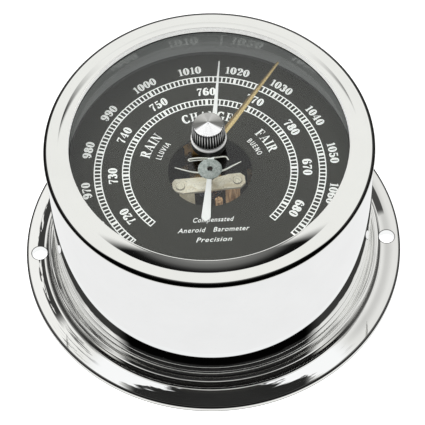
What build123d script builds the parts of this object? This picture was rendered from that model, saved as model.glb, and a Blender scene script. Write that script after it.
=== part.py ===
"""Aneroid barometer with its complete movement, in millimetres.

Origin: centre of the flange's back face.  +Z leaves the dial towards the reader,
+Y points to twelve o'clock, and the two mounting holes lie on the X axis.
Each piece is written to parts/NAME.step.
"""
from build123d import *
import math
import os

os.makedirs("parts", exist_ok=True)

# ---------------------------------------------------------------- shared dimensions
# Suffixes: _r radius, _t thickness, _z0 and _z1 back and front heights, _deg degrees,
# _xy a point, _places a list of points or locations.
running = 0.03           # radial running clearance
end_play = 0.05          # axial play at an arbor's shoulder
axis_xy = (0, 0)

# case
flange_r = 60.0
drum_r = 50.2
drum_wall = 1.5
drum_z0 = 4.0            # drum seat, and front of the flange's ledge
drum_z1 = 57.6
ledge_r = 44.0           # inner radius of the ledge
cover_recess_r = 48.1
cover_r = 47.9
cover_t = 2.0
cover_z0 = 0.2
cover_z1 = cover_z0 + cover_t
case_screw_ring_r = 46.2
cover_screw_places = PolarLocations(case_screw_ring_r, 3, start_angle=30).locations
movement_screw_places = PolarLocations(case_screw_ring_r, 3, start_angle=90).locations

# bezel and glazing
bezel_r = 50.75
lip_r = 42.9             # bezel opening
lip_z0 = 59.3
lip_z1 = 61.45
glass_r = 47.0
glass_z0 = 56.7
glass_z1 = 58.7
retainer_z0 = glass_z0 - 1.2

# dial
dial_z = 45.0            # printed face
dial_t = 1.0
dial_r = 48.5
dial_hole_r = 13.0
spacer_r = 44.5          # inner wall of the spacer ring

# setting hand
spindle_r = 1.5
spindle_z0 = 55.6
spindle_z1 = 67.6
bush_r = 3.1             # where the bush passes through the glass
bush_z1 = 62.6

# pressure hand
pointer_z = 45.6
pointer_t = 0.35
arbor_r = 0.8
pivot_r = 0.4
arbor_nose_r = 0.6       # pointer arbor where it passes the bridge and carries the hand

# movement frame
base_t = 1.5
base_z1 = drum_z0 + base_t
plate_z0 = 26.0          # middle plate
plate_z1 = 27.5
bridge_z0 = 37.7         # top bridge
bridge_z1 = 38.5
sector_bridge_z0 = 36.5
sector_bridge_z1 = 37.4
slot_cut = 1.0           # slot cuts in front-facing screws run out past the head

# gearing
module = 0.3
pressure_angle = math.radians(20)
backlash = 0.10
pinion_teeth = 12
sector_teeth_full = 120  # teeth the sector would have as a full wheel
pinion_pitch_r = module * pinion_teeth / 2
sector_pitch_r = module * sector_teeth_full / 2
gear_z0 = 33.0
gear_z1 = 33.8
sector_x = -6.0
sector_y = math.sqrt((pinion_pitch_r + sector_pitch_r) ** 2 - sector_x ** 2)
sector_xy = (sector_x, sector_y)
mesh_deg = math.degrees(math.atan2(sector_y, sector_x))  # from the pinion to the sector's pivot

# rocking shaft, parallel to Y
shaft_x = sector_x
shaft_z = 24.0
shaft_r = 0.8
pin_y = sector_y - 5.0   # drive pin, 5 mm from the sector's pivot
arm_z1 = shaft_z + 8.0   # top of the output arm, where the pin stands

# capsule
capsule_r = 23.0
capsule_z = 16.2         # seam of the two shells
capsule_hub_h = 4.4      # seam to the outer face of either hub
carrier_z0 = 7.5         # raised leaf of the carrier
carrier_z1 = 8.7
foot_z1 = base_z1 + 1.2  # front of the carrier's foot
rivet_r = 1.9            # capsule stud's spigot, and its hole in the carrier


# ---------------------------------------------------------------- helpers
def save(piece, name):
    piece.part.label = name
    export_step(piece.part, f"parts/{name}.step")


def save_discs(name, layers, places=(axis_xy,), bore=0, slot=None):
    """Save discs stacked along Z at each place.

    layers holds (z0, z1, radius); bore is the radius of a hole through every layer;
    slot is an optional (length, width, z0, depth) cut.
    """
    with BuildPart() as piece:
        for z0, z1, radius in layers:
            with BuildSketch(Plane.XY.offset(z0)):
                with Locations(*places):
                    Circle(radius)
                    if bore:
                        Circle(bore, mode=Mode.SUBTRACT)
            extrude(amount=z1 - z0)
        if slot:
            length, width, z0, depth = slot
            with BuildSketch(Plane.XY.offset(z0)):
                with Locations(*places):
                    Rectangle(length, width)
            extrude(amount=depth, mode=Mode.SUBTRACT)
    save(piece, name)


def polar_xy(radius, angle):
    """Point at a radius and an angle in radians."""
    return (radius * math.cos(angle), radius * math.sin(angle))


# ---------------------------------------------------------------- flange
mount_hole_r = 2.5
mount_hole_x = 55.75

with BuildPart() as mounting_flange:
    with BuildSketch(Plane.XZ):
        with BuildLine():
            # (radius, z) from the recess mouth out to the rounded rim
            Polyline((cover_recess_r, 0), (59.3, 0))
            ThreePointArc((59.3, 0), (59.8, 0.2), (flange_r, 0.7))
            Polyline((flange_r, 0.7), (flange_r, 2.05))
            ThreePointArc((flange_r, 2.05), (59.84, 2.44), (59.45, 2.6))
            # flat land, then a filleted step up to the raised bead
            Polyline((59.45, 2.6), (53.9, 2.6))
            ThreePointArc((53.9, 2.6), (53.25, 2.83), (52.97, 3.45))
            Polyline((52.97, 3.45), (52.95, 5.85))
            ThreePointArc((52.95, 5.85), (52.7, 6.04), (52.4, 6.1))
            # grooved bead, drum seat, ledge and cover recess
            Polyline(
                (52.4, 6.1), (51.3, 6.1), (51.05, 5.7), (50.75, 5.7), (50.55, 5.95),
                (drum_r, 5.95), (drum_r, drum_z0), (ledge_r, drum_z0),
                (ledge_r, cover_z1), (cover_recess_r, cover_z1), (cover_recess_r, 0),
            )
        make_face()
    revolve(axis=Axis.Z)
    # plain mounting holes at three and nine o'clock
    with BuildSketch(Plane.XY.offset(-1)):
        with Locations((mount_hole_x, 0), (-mount_hole_x, 0)):
            Circle(mount_hole_r)
    extrude(amount=8, mode=Mode.SUBTRACT)
    # pilot holes: back cover screws from behind, movement screws from the front
    for z0, depth, radius, places in (
        (1, 2.6, 0.95, cover_screw_places),
        (2.6, 2, 1.2, movement_screw_places),
    ):
        with BuildSketch(Plane.XY.offset(z0)):
            with Locations(*places):
                Circle(radius)
        extrude(amount=depth, mode=Mode.SUBTRACT)
save(mounting_flange, "mounting_flange")

# ---------------------------------------------------------------- drum
with BuildPart() as case_drum:
    with BuildSketch(Plane.XY.offset(drum_z0)):
        Circle(drum_r)
        Circle(drum_r - drum_wall, mode=Mode.SUBTRACT)
    extrude(amount=drum_z1 - drum_z0)
    chamfer(case_drum.edges().group_by(Axis.Z)[-1], 0.2)
save(case_drum, "case_drum")

# ---------------------------------------------------------------- back cover
access_hole_r = 3.2
breather_r = 1.6
breather_ring_r = 24
cover_head_z0 = 0.3      # screw heads, sunk in counterbores
cover_head_z1 = 1.3

with BuildPart() as back_cover:
    with BuildSketch(Plane.XY.offset(cover_z0)):
        Circle(cover_r)
        Circle(access_hole_r, mode=Mode.SUBTRACT)  # for the adjusting screw
        with PolarLocations(breather_ring_r, 6, start_angle=30):
            Circle(breather_r, mode=Mode.SUBTRACT)
    extrude(amount=cover_t)
    # clearance holes, then counterbores
    for depth, radius in ((3, 1.1), (cover_head_z1, 1.95)):
        with BuildSketch(Plane.XY):
            with Locations(*cover_screw_places):
                Circle(radius)
        extrude(amount=depth, mode=Mode.SUBTRACT)
save(back_cover, "back_cover")

save_discs(
    "back_cover_screws",
    [(cover_head_z0, cover_head_z1, 1.75), (cover_head_z1, 3.5, 0.95)],
    cover_screw_places,
    slot=(4, 0.5, cover_head_z0, 0.5),
)

# ---------------------------------------------------------------- bezel
skirt_z0 = 55.3
skirt_r0 = 47.3          # inner and outer radii of the skirt
skirt_r1 = 48.4

with BuildPart() as bezel:
    with BuildSketch(Plane.XZ):
        with BuildLine():
            # rolled inner lip, rising towards the opening
            Polyline((lip_r, lip_z0), (lip_r, lip_z1 - 0.15))
            ThreePointArc(
                (lip_r, lip_z1 - 0.15), (lip_r + 0.04, lip_z1 - 0.04), (lip_r + 0.15, lip_z1)
            )
            Polyline((lip_r + 0.15, lip_z1), (lip_r + 0.35, lip_z1 - 0.06))
            ThreePointArc((lip_r + 0.35, lip_z1 - 0.06), (44.88, 60.67), (46.4, 59.8))
            # shallow ring and rounded outer edge
            Polyline((46.4, 59.8), (49.1, 59.65))
            ThreePointArc((49.1, 59.65), (50.27, 59.17), (bezel_r, 58.0))
            # underside and skirt
            Polyline(
                (bezel_r, 58.0), (bezel_r, 57.9), (50.5, 57.65), (skirt_r1, 57.65),
                (skirt_r1, skirt_z0), (skirt_r0, skirt_z0), (skirt_r0, lip_z0), (lip_r, lip_z0),
            )
        make_face()
    revolve(axis=Axis.Z)
save(bezel, "bezel")

# ---------------------------------------------------------------- glazing
save_discs("glass_gasket", [(glass_z1, lip_z0, glass_r)], bore=lip_r - 0.1)

with BuildPart() as glass:
    with BuildSketch(Plane.XY.offset(glass_z0)):
        Circle(glass_r)
        Circle(bush_r, mode=Mode.SUBTRACT)
    extrude(amount=glass_z1 - glass_z0)
    chamfer(glass.edges().group_by(Axis.Z)[-1], 0.15)
save(glass, "glass")

save_discs(
    "glass_retaining_ring", [(retainer_z0, glass_z0, glass_r + 0.2)], bore=spacer_r + 0.3
)

# ---------------------------------------------------------------- dial
spacer_wall = 1.2
spacer_foot_t = 1.6
dial_pillar_places = PolarLocations(41, 3, start_angle=30).locations

with BuildPart() as dial_spacer_ring:
    with BuildSketch(Plane.XZ):
        with BuildLine():
            Polyline(
                (spacer_r, dial_z), (dial_r, dial_z), (dial_r, dial_z + spacer_foot_t),
                (spacer_r + spacer_wall, dial_z + spacer_foot_t),
                (spacer_r + spacer_wall, retainer_z0), (spacer_r, retainer_z0),
                (spacer_r, dial_z),
            )
        make_face()
    revolve(axis=Axis.Z)
save(dial_spacer_ring, "dial_spacer_ring")

save_discs("dial_plate", [(dial_z - dial_t, dial_z, dial_r)], bore=dial_hole_r)
save_discs("dial_pillars", [(base_z1, dial_z - dial_t, 2.2)], dial_pillar_places)

# ---------------------------------------------------------------- spindle and knob
knob_r = 5.0
knob_z0 = 63.55
knob_z1 = 69.6
knob_crown_z = knob_z1 + 1.9
knob_flutes = 36
washer_z1 = bush_z1 + 0.85
collar_z1 = glass_z1 + 1.5

# bonded in the glass, flush beneath it, with a stepped collar above
save_discs(
    "spindle_bush",
    [(glass_z0, glass_z1, bush_r), (glass_z1, collar_z1, 4.0), (collar_z1, bush_z1, 5.4)],
    bore=spindle_r + running,
)

with BuildPart() as knob_washer:
    with BuildSketch(Plane.XY.offset(bush_z1)):
        Circle(5.5)
        Circle(spindle_r + running, mode=Mode.SUBTRACT)
    extrude(amount=washer_z1 - bush_z1)
    # front outer edge
    fillet(knob_washer.edges().group_by(Axis.Z)[-1].sort_by(SortBy.LENGTH)[-1], 0.4)
save(knob_washer, "knob_washer")

with BuildPart() as set_knob:
    with BuildSketch(Plane.XZ):
        with BuildLine():
            # (radius, z): rim, shallow cone, then the blind spindle bore
            Polyline(
                (spindle_r, knob_z0), (4.5, knob_z0), (knob_r, knob_z0 + 0.5),
                (knob_r, knob_z1 - 0.1), (knob_r - 0.35, knob_z1 + 0.3), (4.4, knob_z1 + 0.4),
                (0.25, knob_crown_z), (0, knob_crown_z),
                (0, spindle_z1), (spindle_r, spindle_z1), (spindle_r, knob_z0),
            )
        make_face()
    revolve(axis=Axis.Z)
    # straight knurl: V flutes round the rim
    with BuildSketch(Plane.XY.offset(knob_z0 - 0.2)):
        with PolarLocations(knob_r, knob_flutes):
            Polygon((-0.42, 0), (0.2, -0.36), (0.2, 0.36), align=None)
    extrude(amount=knob_z1 - knob_z0 + 0.45, mode=Mode.SUBTRACT)
save(set_knob, "set_knob")

save_discs("set_spindle", [(spindle_z0, spindle_z1, spindle_r)])

# ---------------------------------------------------------------- setting hand
set_hand_deg = -35.2     # from twelve o'clock, clockwise negative
set_hand_z0 = 55.65
set_hand_t = 0.7
set_hand_z1 = set_hand_z0 + set_hand_t
blade_z = 55.8
# distance from the axis, half width, ridge height
blade_stations = ((1.6, 0.7, 0.4), (13.0, 1.0, 0.5), (39.6, 0.42, 0.3))

save_discs("spring_washer", [(set_hand_z1, set_hand_z1 + 0.3, 2.1)], bore=spindle_r)

with BuildPart() as set_hand:
    with BuildSketch(Plane.XY.offset(set_hand_z0)):
        Circle(2.0)
    extrude(amount=set_hand_t)
    # tapered blade with a raised centre ridge, lofted from root to tip;
    # the plane's normal runs along the blade and its y axis points to -Z
    hand_angle = math.radians(set_hand_deg)
    hand_plane = Plane(
        origin=(0, 0, blade_z),
        x_dir=(math.cos(hand_angle), math.sin(hand_angle), 0),
        z_dir=(-math.sin(hand_angle), math.cos(hand_angle), 0),
    )
    for distance, half_width, ridge in blade_stations:
        with BuildSketch(hand_plane.offset(distance)):
            with BuildLine():
                Polyline((-half_width, 0), (half_width, 0), (0, -ridge), (-half_width, 0))
            make_face()
    loft(ruled=True)
    with BuildSketch(Plane.XY.offset(53)):
        Circle(spindle_r)
    extrude(amount=6, mode=Mode.SUBTRACT)
save(set_hand, "set_hand")

# ---------------------------------------------------------------- pressure hand
pointer_len = 41.6
pointer_tail = 19.1
pointer_deg = -6.4       # from twelve o'clock, clockwise negative
hub_r = 3.75
hub_z0 = pointer_z + pointer_t

# (x, y) down the hand's right side from tip to tail
pointer_right = [
    (0, pointer_len), (0.2, pointer_len - 0.5), (0.4, 32.0), (0.8, 19.0),
    (0.95, 2.5), (0.75, -2.5), (1.4, -pointer_tail + 1.6), (0.5, -pointer_tail + 0.15),
    (0, -pointer_tail),
]
pointer_left = [(-x, y) for x, y in reversed(pointer_right[1:-1])]

with BuildPart() as pointer:
    with BuildSketch(Plane.XY.offset(pointer_z).rotated((0, 0, pointer_deg))):
        with BuildLine():
            Polyline(*pointer_right, *pointer_left, pointer_right[0])
        make_face()
        Circle(2.6)
        Circle(arbor_nose_r, mode=Mode.SUBTRACT)
    extrude(amount=pointer_t)
save(pointer, "pointer")

with BuildPart() as pointer_hub:
    with BuildSketch(Plane.XY.offset(hub_z0)):
        Circle(hub_r)
        Circle(arbor_nose_r, mode=Mode.SUBTRACT)
    extrude(amount=0.45)
    fillet(pointer_hub.edges().group_by(Axis.Z)[-1].sort_by(SortBy.LENGTH)[-1], 0.25)
    # hexagonal recess round the arbor
    with BuildSketch(Plane.XY.offset(hub_z0 + 0.2)):
        RegularPolygon(1.05, 6)
        Circle(arbor_nose_r, mode=Mode.SUBTRACT)
    extrude(amount=0.4, mode=Mode.SUBTRACT)
save(pointer_hub, "pointer_hub")

arbor_z0 = plate_z0 + 0.1
arbor_shoulder_z = plate_z1 + end_play
save_discs("pointer_arbor", [
    (arbor_z0, arbor_shoulder_z, pivot_r),
    (arbor_shoulder_z, bridge_z0 - end_play, arbor_r),
    (bridge_z0 - end_play, pointer_z + 0.5, arbor_nose_r),
])


# ---------------------------------------------------------------- pinion
def tooth_points(teeth, root_r, tip_r, centre_deg):
    """One involute tooth from root to root, counter-clockwise, about the gear's centre."""
    pitch_r = module * teeth / 2
    base_r = pitch_r * math.cos(pressure_angle)
    flank_r = max(root_r, base_r)    # where the involute flank starts

    def involute(angle):
        return math.tan(angle) - angle

    def half_angle(radius):
        at_pitch = (math.pi * module / 2 - backlash) / 2 / pitch_r
        return at_pitch + involute(pressure_angle) - involute(math.acos(base_r / radius))

    flank = [(r, half_angle(r)) for r in (flank_r + (tip_r - flank_r) * i / 4 for i in range(5))]
    if root_r < flank_r:
        flank.insert(0, (root_r, half_angle(flank_r)))
    centre = math.radians(centre_deg)
    rising = [polar_xy(r, centre - angle) for r, angle in flank]
    falling = [polar_xy(r, centre + angle) for r, angle in reversed(flank)]
    return rising + falling


with BuildPart() as pinion:
    pinion_points = []
    for i in range(pinion_teeth):
        pinion_points += tooth_points(
            pinion_teeth, pinion_pitch_r - 0.37, pinion_pitch_r + 0.22,
            mesh_deg + 360 / pinion_teeth * i,
        )
    with BuildSketch(Plane.XY.offset(gear_z0 - 0.5)):
        with BuildLine():
            Polyline(*pinion_points, pinion_points[0])
        make_face()
        Circle(arbor_r, mode=Mode.SUBTRACT)
    extrude(amount=1.8)
save(pinion, "pinion")

# ---------------------------------------------------------------- hairspring
spring_turns = 4.0
spring_end_deg = 295.0   # outer end, beside the stud
spring_start_r = 1.5
spring_growth = 2.7      # radius gained from inner to outer end
spring_half_t = 0.07
spring_steps = 96
stud_places = PolarLocations(5.5, 1, start_angle=spring_end_deg).locations

save_discs("hairspring_collet", [(34.9, 36.1, 1.35)], bore=arbor_r)

with BuildPart() as hairspring:
    coil = []
    for i in range(spring_steps + 1):
        fraction = i / spring_steps
        coil_deg = spring_end_deg - 360 * spring_turns * (1 - fraction)
        coil.append((spring_start_r + spring_growth * fraction, math.radians(coil_deg)))
    outer = [polar_xy(r + spring_half_t, angle) for r, angle in coil]
    inner = [polar_xy(r - spring_half_t, angle) for r, angle in coil]
    with BuildSketch(Plane.XY.offset(35.2)):
        with BuildLine():
            Polyline(*outer, *reversed(inner), outer[0])
        make_face()
    extrude(amount=0.55)
save(hairspring, "hairspring")

save_discs("hairspring_stud", [(plate_z1, 36.2, 1.2)], stud_places)

# ---------------------------------------------------------------- counterpoise
# (x, y) round the two long arms, then round the cranked wire above them
arms_outline = [
    (-10.6, 3.75), (-4.5, 1.35), (0, 0.55), (4.5, 1.75), (9.9, 4.9),
    (9.9, 5.35), (4.6, 2.65), (0, 1.45), (-4.6, 2.0), (-10.6, 4.15),
]
wire_outline = [
    (-6.6, 7.0), (-6.6, 6.2), (-6.2, 6.2), (-6.2, 6.6), (0.6, 6.6), (5.0, 6.9),
    (5.5, 6.0), (5.9, 6.2), (5.3, 7.4), (0.6, 7.1),
]

# thin wire frame under the hand, on the pointer arbor
with BuildPart() as counterpoise:
    with BuildSketch(Plane.XY.offset(41.6)):
        Circle(1.5)
        for outline in (arms_outline, wire_outline):
            with BuildLine():
                Polyline(*outline, outline[0])
            make_face()
        # two stems join the arms to the wire
        with Locations((-0.45, 3.9), (0.45, 3.9)):
            Rectangle(0.3, 5.8)
        Circle(arbor_nose_r, mode=Mode.SUBTRACT)
    extrude(amount=0.45)
save(counterpoise, "counterpoise")

# ---------------------------------------------------------------- sector
sector_teeth = 12        # teeth actually cut
heel_r = 2.4             # corners of the sector beside its pivot
heel_spread = 0.5        # radians outside the toothed arc
window_r = 11.8          # window's distance from the pivot

with BuildPart() as sector_gear:
    back_deg = mesh_deg + 180        # from the sector's pivot to the pinion
    pitch_deg = 360 / sector_teeth_full
    half_deg = sector_teeth / 2 * pitch_deg
    rim = []
    for i in range(sector_teeth):
        rim += tooth_points(
            sector_teeth_full, sector_pitch_r - 0.36, sector_pitch_r + 0.19,
            back_deg - half_deg + (i + 0.5) * pitch_deg,
        )
    outline = [
        polar_xy(heel_r, math.radians(back_deg - half_deg) - heel_spread),
        *rim,
        polar_xy(heel_r, math.radians(back_deg + half_deg) + heel_spread),
    ]
    outline = [(x + sector_x, y + sector_y) for x, y in outline]
    window_x, window_y = polar_xy(window_r, math.radians(back_deg + 1))
    with BuildSketch(Plane.XY.offset(gear_z0)):
        with BuildLine():
            Polyline(*outline, outline[0])
        make_face()
        # fork that straddles the drive pin
        with Locations((sector_x, sector_y - 3.6)):
            Rectangle(3.4, 7.2)
        with Locations(sector_xy):
            Circle(2.8)
        with Locations((sector_x, sector_y - 6.0)):
            Rectangle(1.0, 4.4, mode=Mode.SUBTRACT)
        # lightening window
        with Locations((sector_x + window_x, sector_y + window_y)):
            Rectangle(5.2, 2.8, rotation=back_deg, mode=Mode.SUBTRACT)
        with Locations(sector_xy):
            Circle(arbor_r, mode=Mode.SUBTRACT)
    extrude(amount=gear_z1 - gear_z0)
save(sector_gear, "sector_gear")

sector_shoulder_z = sector_bridge_z0 - end_play
save_discs("sector_arbor", [
    (arbor_z0, arbor_shoulder_z, pivot_r),
    (arbor_shoulder_z, sector_shoulder_z, arbor_r),
    (sector_shoulder_z, sector_bridge_z1, pivot_r),
], [sector_xy])

sector_bridge_outline = [
    (-15.5, 21.4), (-15.5, 27.0), (4.5, 27.0), (4.5, 21.4), (0.5, 21.4),
    (-3.4, 16.6), (-8.6, 16.6), (-11.0, 21.4),
]
sector_post_places = [(-13.0, 24.2), (2.0, 24.2)]

with BuildPart() as sector_bridge:
    with BuildSketch(Plane.XY.offset(sector_bridge_z0)):
        with BuildLine():
            Polyline(*sector_bridge_outline, sector_bridge_outline[0])
        make_face()
        with Locations(sector_xy):
            Circle(pivot_r + running, mode=Mode.SUBTRACT)
    extrude(amount=sector_bridge_z1 - sector_bridge_z0)
save(sector_bridge, "sector_bridge")

save_discs("sector_bridge_pillars", [(plate_z1, sector_bridge_z0, 1.7)], sector_post_places)
save_discs(
    "sector_bridge_screws",
    [(sector_bridge_z1, sector_bridge_z1 + 0.8, 1.4)],
    sector_post_places,
    slot=(3.2, 0.4, sector_bridge_z1 + 0.4, slot_cut),
)

# ---------------------------------------------------------------- rocking shaft and its arms
# Plane.XZ faces -Y: offset(-y) places a sketch at y, a negative extrusion runs to +Y.
shaft_xz = (shaft_x, shaft_z)
shaft_y0 = -8.3
shaft_y1 = 18.3
pivot_len = 1.15
arm_tube_r = 1.3
input_arm_width = 2.8
output_arm_width = 1.8
bracket_t = 0.9
bracket_gap = 0.15       # from the shaft's shoulder to its bracket

with BuildPart() as rocking_shaft:
    for y0, y1, radius in (
        (shaft_y0 - pivot_len, shaft_y0, pivot_r),
        (shaft_y0, shaft_y1, shaft_r),
        (shaft_y1, shaft_y1 + pivot_len, pivot_r),
    ):
        with BuildSketch(Plane.XZ.offset(-y0)):
            with Locations(shaft_xz):
                Circle(radius)
        extrude(amount=-(y1 - y0))
save(rocking_shaft, "rocking_shaft")

# tube that grips the shaft, with the flat arm that reaches over the capsule post
with BuildPart() as input_arm:
    with BuildSketch(Plane.XZ.offset(input_arm_width / 2)):
        with Locations(shaft_xz):
            Circle(arm_tube_r)
        with Locations((shaft_x + 3.6, shaft_z + 0.55)):
            Rectangle(7.2, 0.9)
        with Locations(shaft_xz):
            Circle(shaft_r, mode=Mode.SUBTRACT)
    extrude(amount=-input_arm_width)
save(input_arm, "input_arm")

# tube with the upright arm that stands under the drive pin
with BuildPart() as output_arm:
    with BuildSketch(Plane.XZ.offset(-pin_y - output_arm_width / 2)):
        with Locations(shaft_xz):
            Circle(arm_tube_r)
        with Locations((shaft_x, (shaft_z + arm_z1) / 2)):
            Rectangle(1.3, arm_z1 - shaft_z)
        with Locations(shaft_xz):
            Circle(shaft_r, mode=Mode.SUBTRACT)
    extrude(amount=output_arm_width)
save(output_arm, "output_arm")

save_discs("drive_pin", [(arm_z1, arm_z1 + 2.4, 0.38)], [(shaft_x, pin_y)])

# two hangers under the middle plate carry the shaft's pivots
with BuildPart() as shaft_brackets:
    for y0 in (shaft_y0 - bracket_gap - bracket_t, shaft_y1 + bracket_gap):
        with BuildSketch(Plane.XZ.offset(-y0)):
            with BuildLine():
                Polyline(
                    (shaft_x - 3, plate_z0), (shaft_x + 3, plate_z0),
                    (shaft_x + 1.4, shaft_z - 1.3), (shaft_x - 1.4, shaft_z - 1.3),
                    (shaft_x - 3, plate_z0),
                )
            make_face()
            with Locations(shaft_xz):
                Circle(pivot_r + running, mode=Mode.SUBTRACT)
        extrude(amount=-bracket_t)
save(shaft_brackets, "shaft_brackets")

# ---------------------------------------------------------------- middle plate and its pillars
frame_places = [(-20, -18), (20, -18), (-20, 22), (20, 22)]
# centre x, centre y, width, height, corner radius
plate_windows = (
    (15.5, 1, 7.5, 26, 2),
    (-15.5, -2, 9, 22, 2),
    (0, -13.5, 20, 6, 2),
)

with BuildPart() as middle_plate:
    with BuildSketch(Plane.XY.offset(plate_z0)):
        with Locations((0, 2)):
            RectangleRounded(46, 46, 4)
        for x, y, width, height, corner_r in plate_windows:
            with Locations((x, y)):
                RectangleRounded(width, height, corner_r, mode=Mode.SUBTRACT)
        # the output arm passes here
        with Locations((shaft_x, pin_y)):
            Rectangle(6.0, 3.0, mode=Mode.SUBTRACT)
        # lower pivots
        with Locations(axis_xy, sector_xy):
            Circle(pivot_r + running, mode=Mode.SUBTRACT)
    extrude(amount=plate_z1 - plate_z0)
save(middle_plate, "middle_plate")

save_discs("frame_pillars", [(base_z1, plate_z0, 2.0)], frame_places)
save_discs(
    "frame_screws",
    [(plate_z1, plate_z1 + 1.2, 1.9)],
    frame_places,
    slot=(4.2, 0.5, plate_z1 + 0.6, slot_cut),
)

# ---------------------------------------------------------------- top bridge
bridge_plane = Plane.XY.rotated((0, 0, 4.0))
bridge_t = bridge_z1 - bridge_z0
bridge_screw_places = [(-9.5, -0.3), (8.4, -0.2)]
bridge_outline = [
    (-11.9, 1.5), (-10.9, 2.6), (-4.0, 2.4), (3.0, 1.9), (6.0, 2.5), (9.6, 2.5),
    (10.8, 1.2), (10.8, -1.3), (9.1, -2.8), (2.0, -2.7), (-9.1, -2.9), (-11.9, -1.4),
]

with BuildPart() as top_bridge:
    with BuildSketch(bridge_plane.offset(bridge_z0)):
        with BuildLine():
            Polyline(*bridge_outline, bridge_outline[0])
        make_face()
        Circle(arbor_nose_r + running, mode=Mode.SUBTRACT)
    extrude(amount=bridge_t)
    with BuildSketch(bridge_plane.offset(bridge_z0 - 1)):
        with Locations(*bridge_screw_places):
            Circle(0.75)
    extrude(amount=3, mode=Mode.SUBTRACT)
save(top_bridge, "top_bridge")

with BuildPart() as bridge_screws:
    with BuildSketch(bridge_plane.offset(bridge_z1)):
        with Locations(*bridge_screw_places):
            Circle(1.45)
    extrude(amount=0.45)
    chamfer(bridge_screws.edges().group_by(Axis.Z)[-1], 0.12)
    with BuildSketch(bridge_plane.offset(bridge_z0)):
        with Locations(*bridge_screw_places):
            Circle(0.7)
    extrude(amount=bridge_t)
save(bridge_screws, "bridge_screws")

with BuildPart() as bridge_post:
    with BuildSketch(bridge_plane.offset(plate_z1)):
        with Locations((-7.6, -1.35)):
            Rectangle(4.6, 2.6)
    extrude(amount=bridge_z0 - plate_z1)
save(bridge_post, "bridge_post")

with BuildPart() as bridge_pillar:
    with BuildSketch(bridge_plane.offset(plate_z1)):
        with Locations((6.8, -0.5)):
            Circle(2.3)
    extrude(amount=bridge_z0 - plate_z1)
save(bridge_pillar, "bridge_pillar")

# ---------------------------------------------------------------- capsule
shell_t = 0.35
# radius, height from the seam: the corrugations from rim to hub
corrugations = (
    (capsule_r, 0.35), (21.0, 2.6), (19.2, 3.3), (17.4, 2.6), (15.6, 3.4), (13.8, 2.7),
    (12.0, 3.5), (10.2, 2.8), (8.4, 3.6), (6.6, 3.9), (5.0, capsule_hub_h),
)


def save_shell(name, side, hole_r):
    """Save one corrugated shell; side is +1 in front of the seam, -1 behind it."""
    outer_face = [(r, capsule_z + side * h) for r, h in corrugations]
    inner_face = [(r - 0.15, z - side * shell_t) for r, z in reversed(outer_face[1:])]
    hub_z = capsule_z + side * capsule_hub_h
    with BuildPart() as shell:
        with BuildSketch(Plane.XZ):
            with BuildLine():
                Polyline(
                    (capsule_r, capsule_z), *outer_face,
                    (hole_r, hub_z), (hole_r, hub_z - side * shell_t),
                    *inner_face, (capsule_r - 1.2, capsule_z), (capsule_r, capsule_z),
                )
            make_face()
        revolve(axis=Axis.Z)
    save(shell, name)


save_shell("capsule_lower_shell", -1, 2.05)
save_shell("capsule_upper_shell", 1, 1.55)

lower_hub_z = capsule_z - capsule_hub_h
upper_hub_z = capsule_z + capsule_hub_h
post_flange_z1 = upper_hub_z + 0.7

# fixed to the lower shell, riveted into the carrier
save_discs("capsule_stud", [
    (carrier_z1, lower_hub_z, 3.4),
    (lower_hub_z, lower_hub_z + 1.0, 2.0),
    (carrier_z0, carrier_z1, rivet_r),
])

# rises and falls with the upper shell, under the input arm
save_discs("capsule_post", [
    (upper_hub_z, post_flange_z1, 3.2),
    (post_flange_z1, 23.9, 1.2),
    (upper_hub_z - 1.0, upper_hub_z, 1.5),
])

# ---------------------------------------------------------------- capsule carrier
carrier_width = 12
carrier_screw_places = [(-17.5, -3), (-17.5, 3)]

# leaf that carries the capsule; its foot stands on the base plate
with BuildPart() as capsule_carrier:
    with BuildSketch(Plane.XZ.offset(-carrier_width / 2)):
        with BuildLine():
            Polyline(
                (-22, base_z1), (-12, base_z1), (-12, base_z1 + 0.9), (-10.8, carrier_z0),
                (8, carrier_z0), (8, carrier_z1), (-11.4, carrier_z1), (-13.6, foot_z1),
                (-22, foot_z1), (-22, base_z1),
            )
        make_face()
    extrude(amount=carrier_width)
    # rivet hole, then screw holes in the foot
    for z0, radius, places in ((7, rivet_r, [axis_xy]), (5, 1.1, carrier_screw_places)):
        with BuildSketch(Plane.XY.offset(z0)):
            with Locations(*places):
                Circle(radius)
        extrude(amount=3, mode=Mode.SUBTRACT)
save(capsule_carrier, "capsule_carrier")

save_discs(
    "carrier_screws",
    [(foot_z1, foot_z1 + 1.1, 1.9), (base_z1, foot_z1, 1.05)],
    carrier_screw_places,
    slot=(4.2, 0.5, foot_z1 + 0.7, slot_cut),
)

# ---------------------------------------------------------------- adjusting screw
adjuster_r = 1.9
adjuster_z0 = 1.2
adjuster_head_z1 = 2.8

# turned from behind through the back cover; its nose faces the carrier's underside
with BuildPart() as adjusting_screw:
    with BuildSketch(Plane.XY.offset(adjuster_z0)):
        Circle(2.6)
    extrude(amount=adjuster_head_z1 - adjuster_z0)
    with BuildSketch(Plane.XY.offset(adjuster_head_z1)):
        Circle(adjuster_r)
    extrude(amount=carrier_z0 - 0.05 - adjuster_head_z1)
    chamfer(adjusting_screw.edges().group_by(Axis.Z)[-1], 0.5)
    with BuildSketch(Plane.XY.offset(adjuster_z0)):
        Rectangle(6, 0.7)
    extrude(amount=0.7, mode=Mode.SUBTRACT)
save(adjusting_screw, "adjusting_screw")

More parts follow.
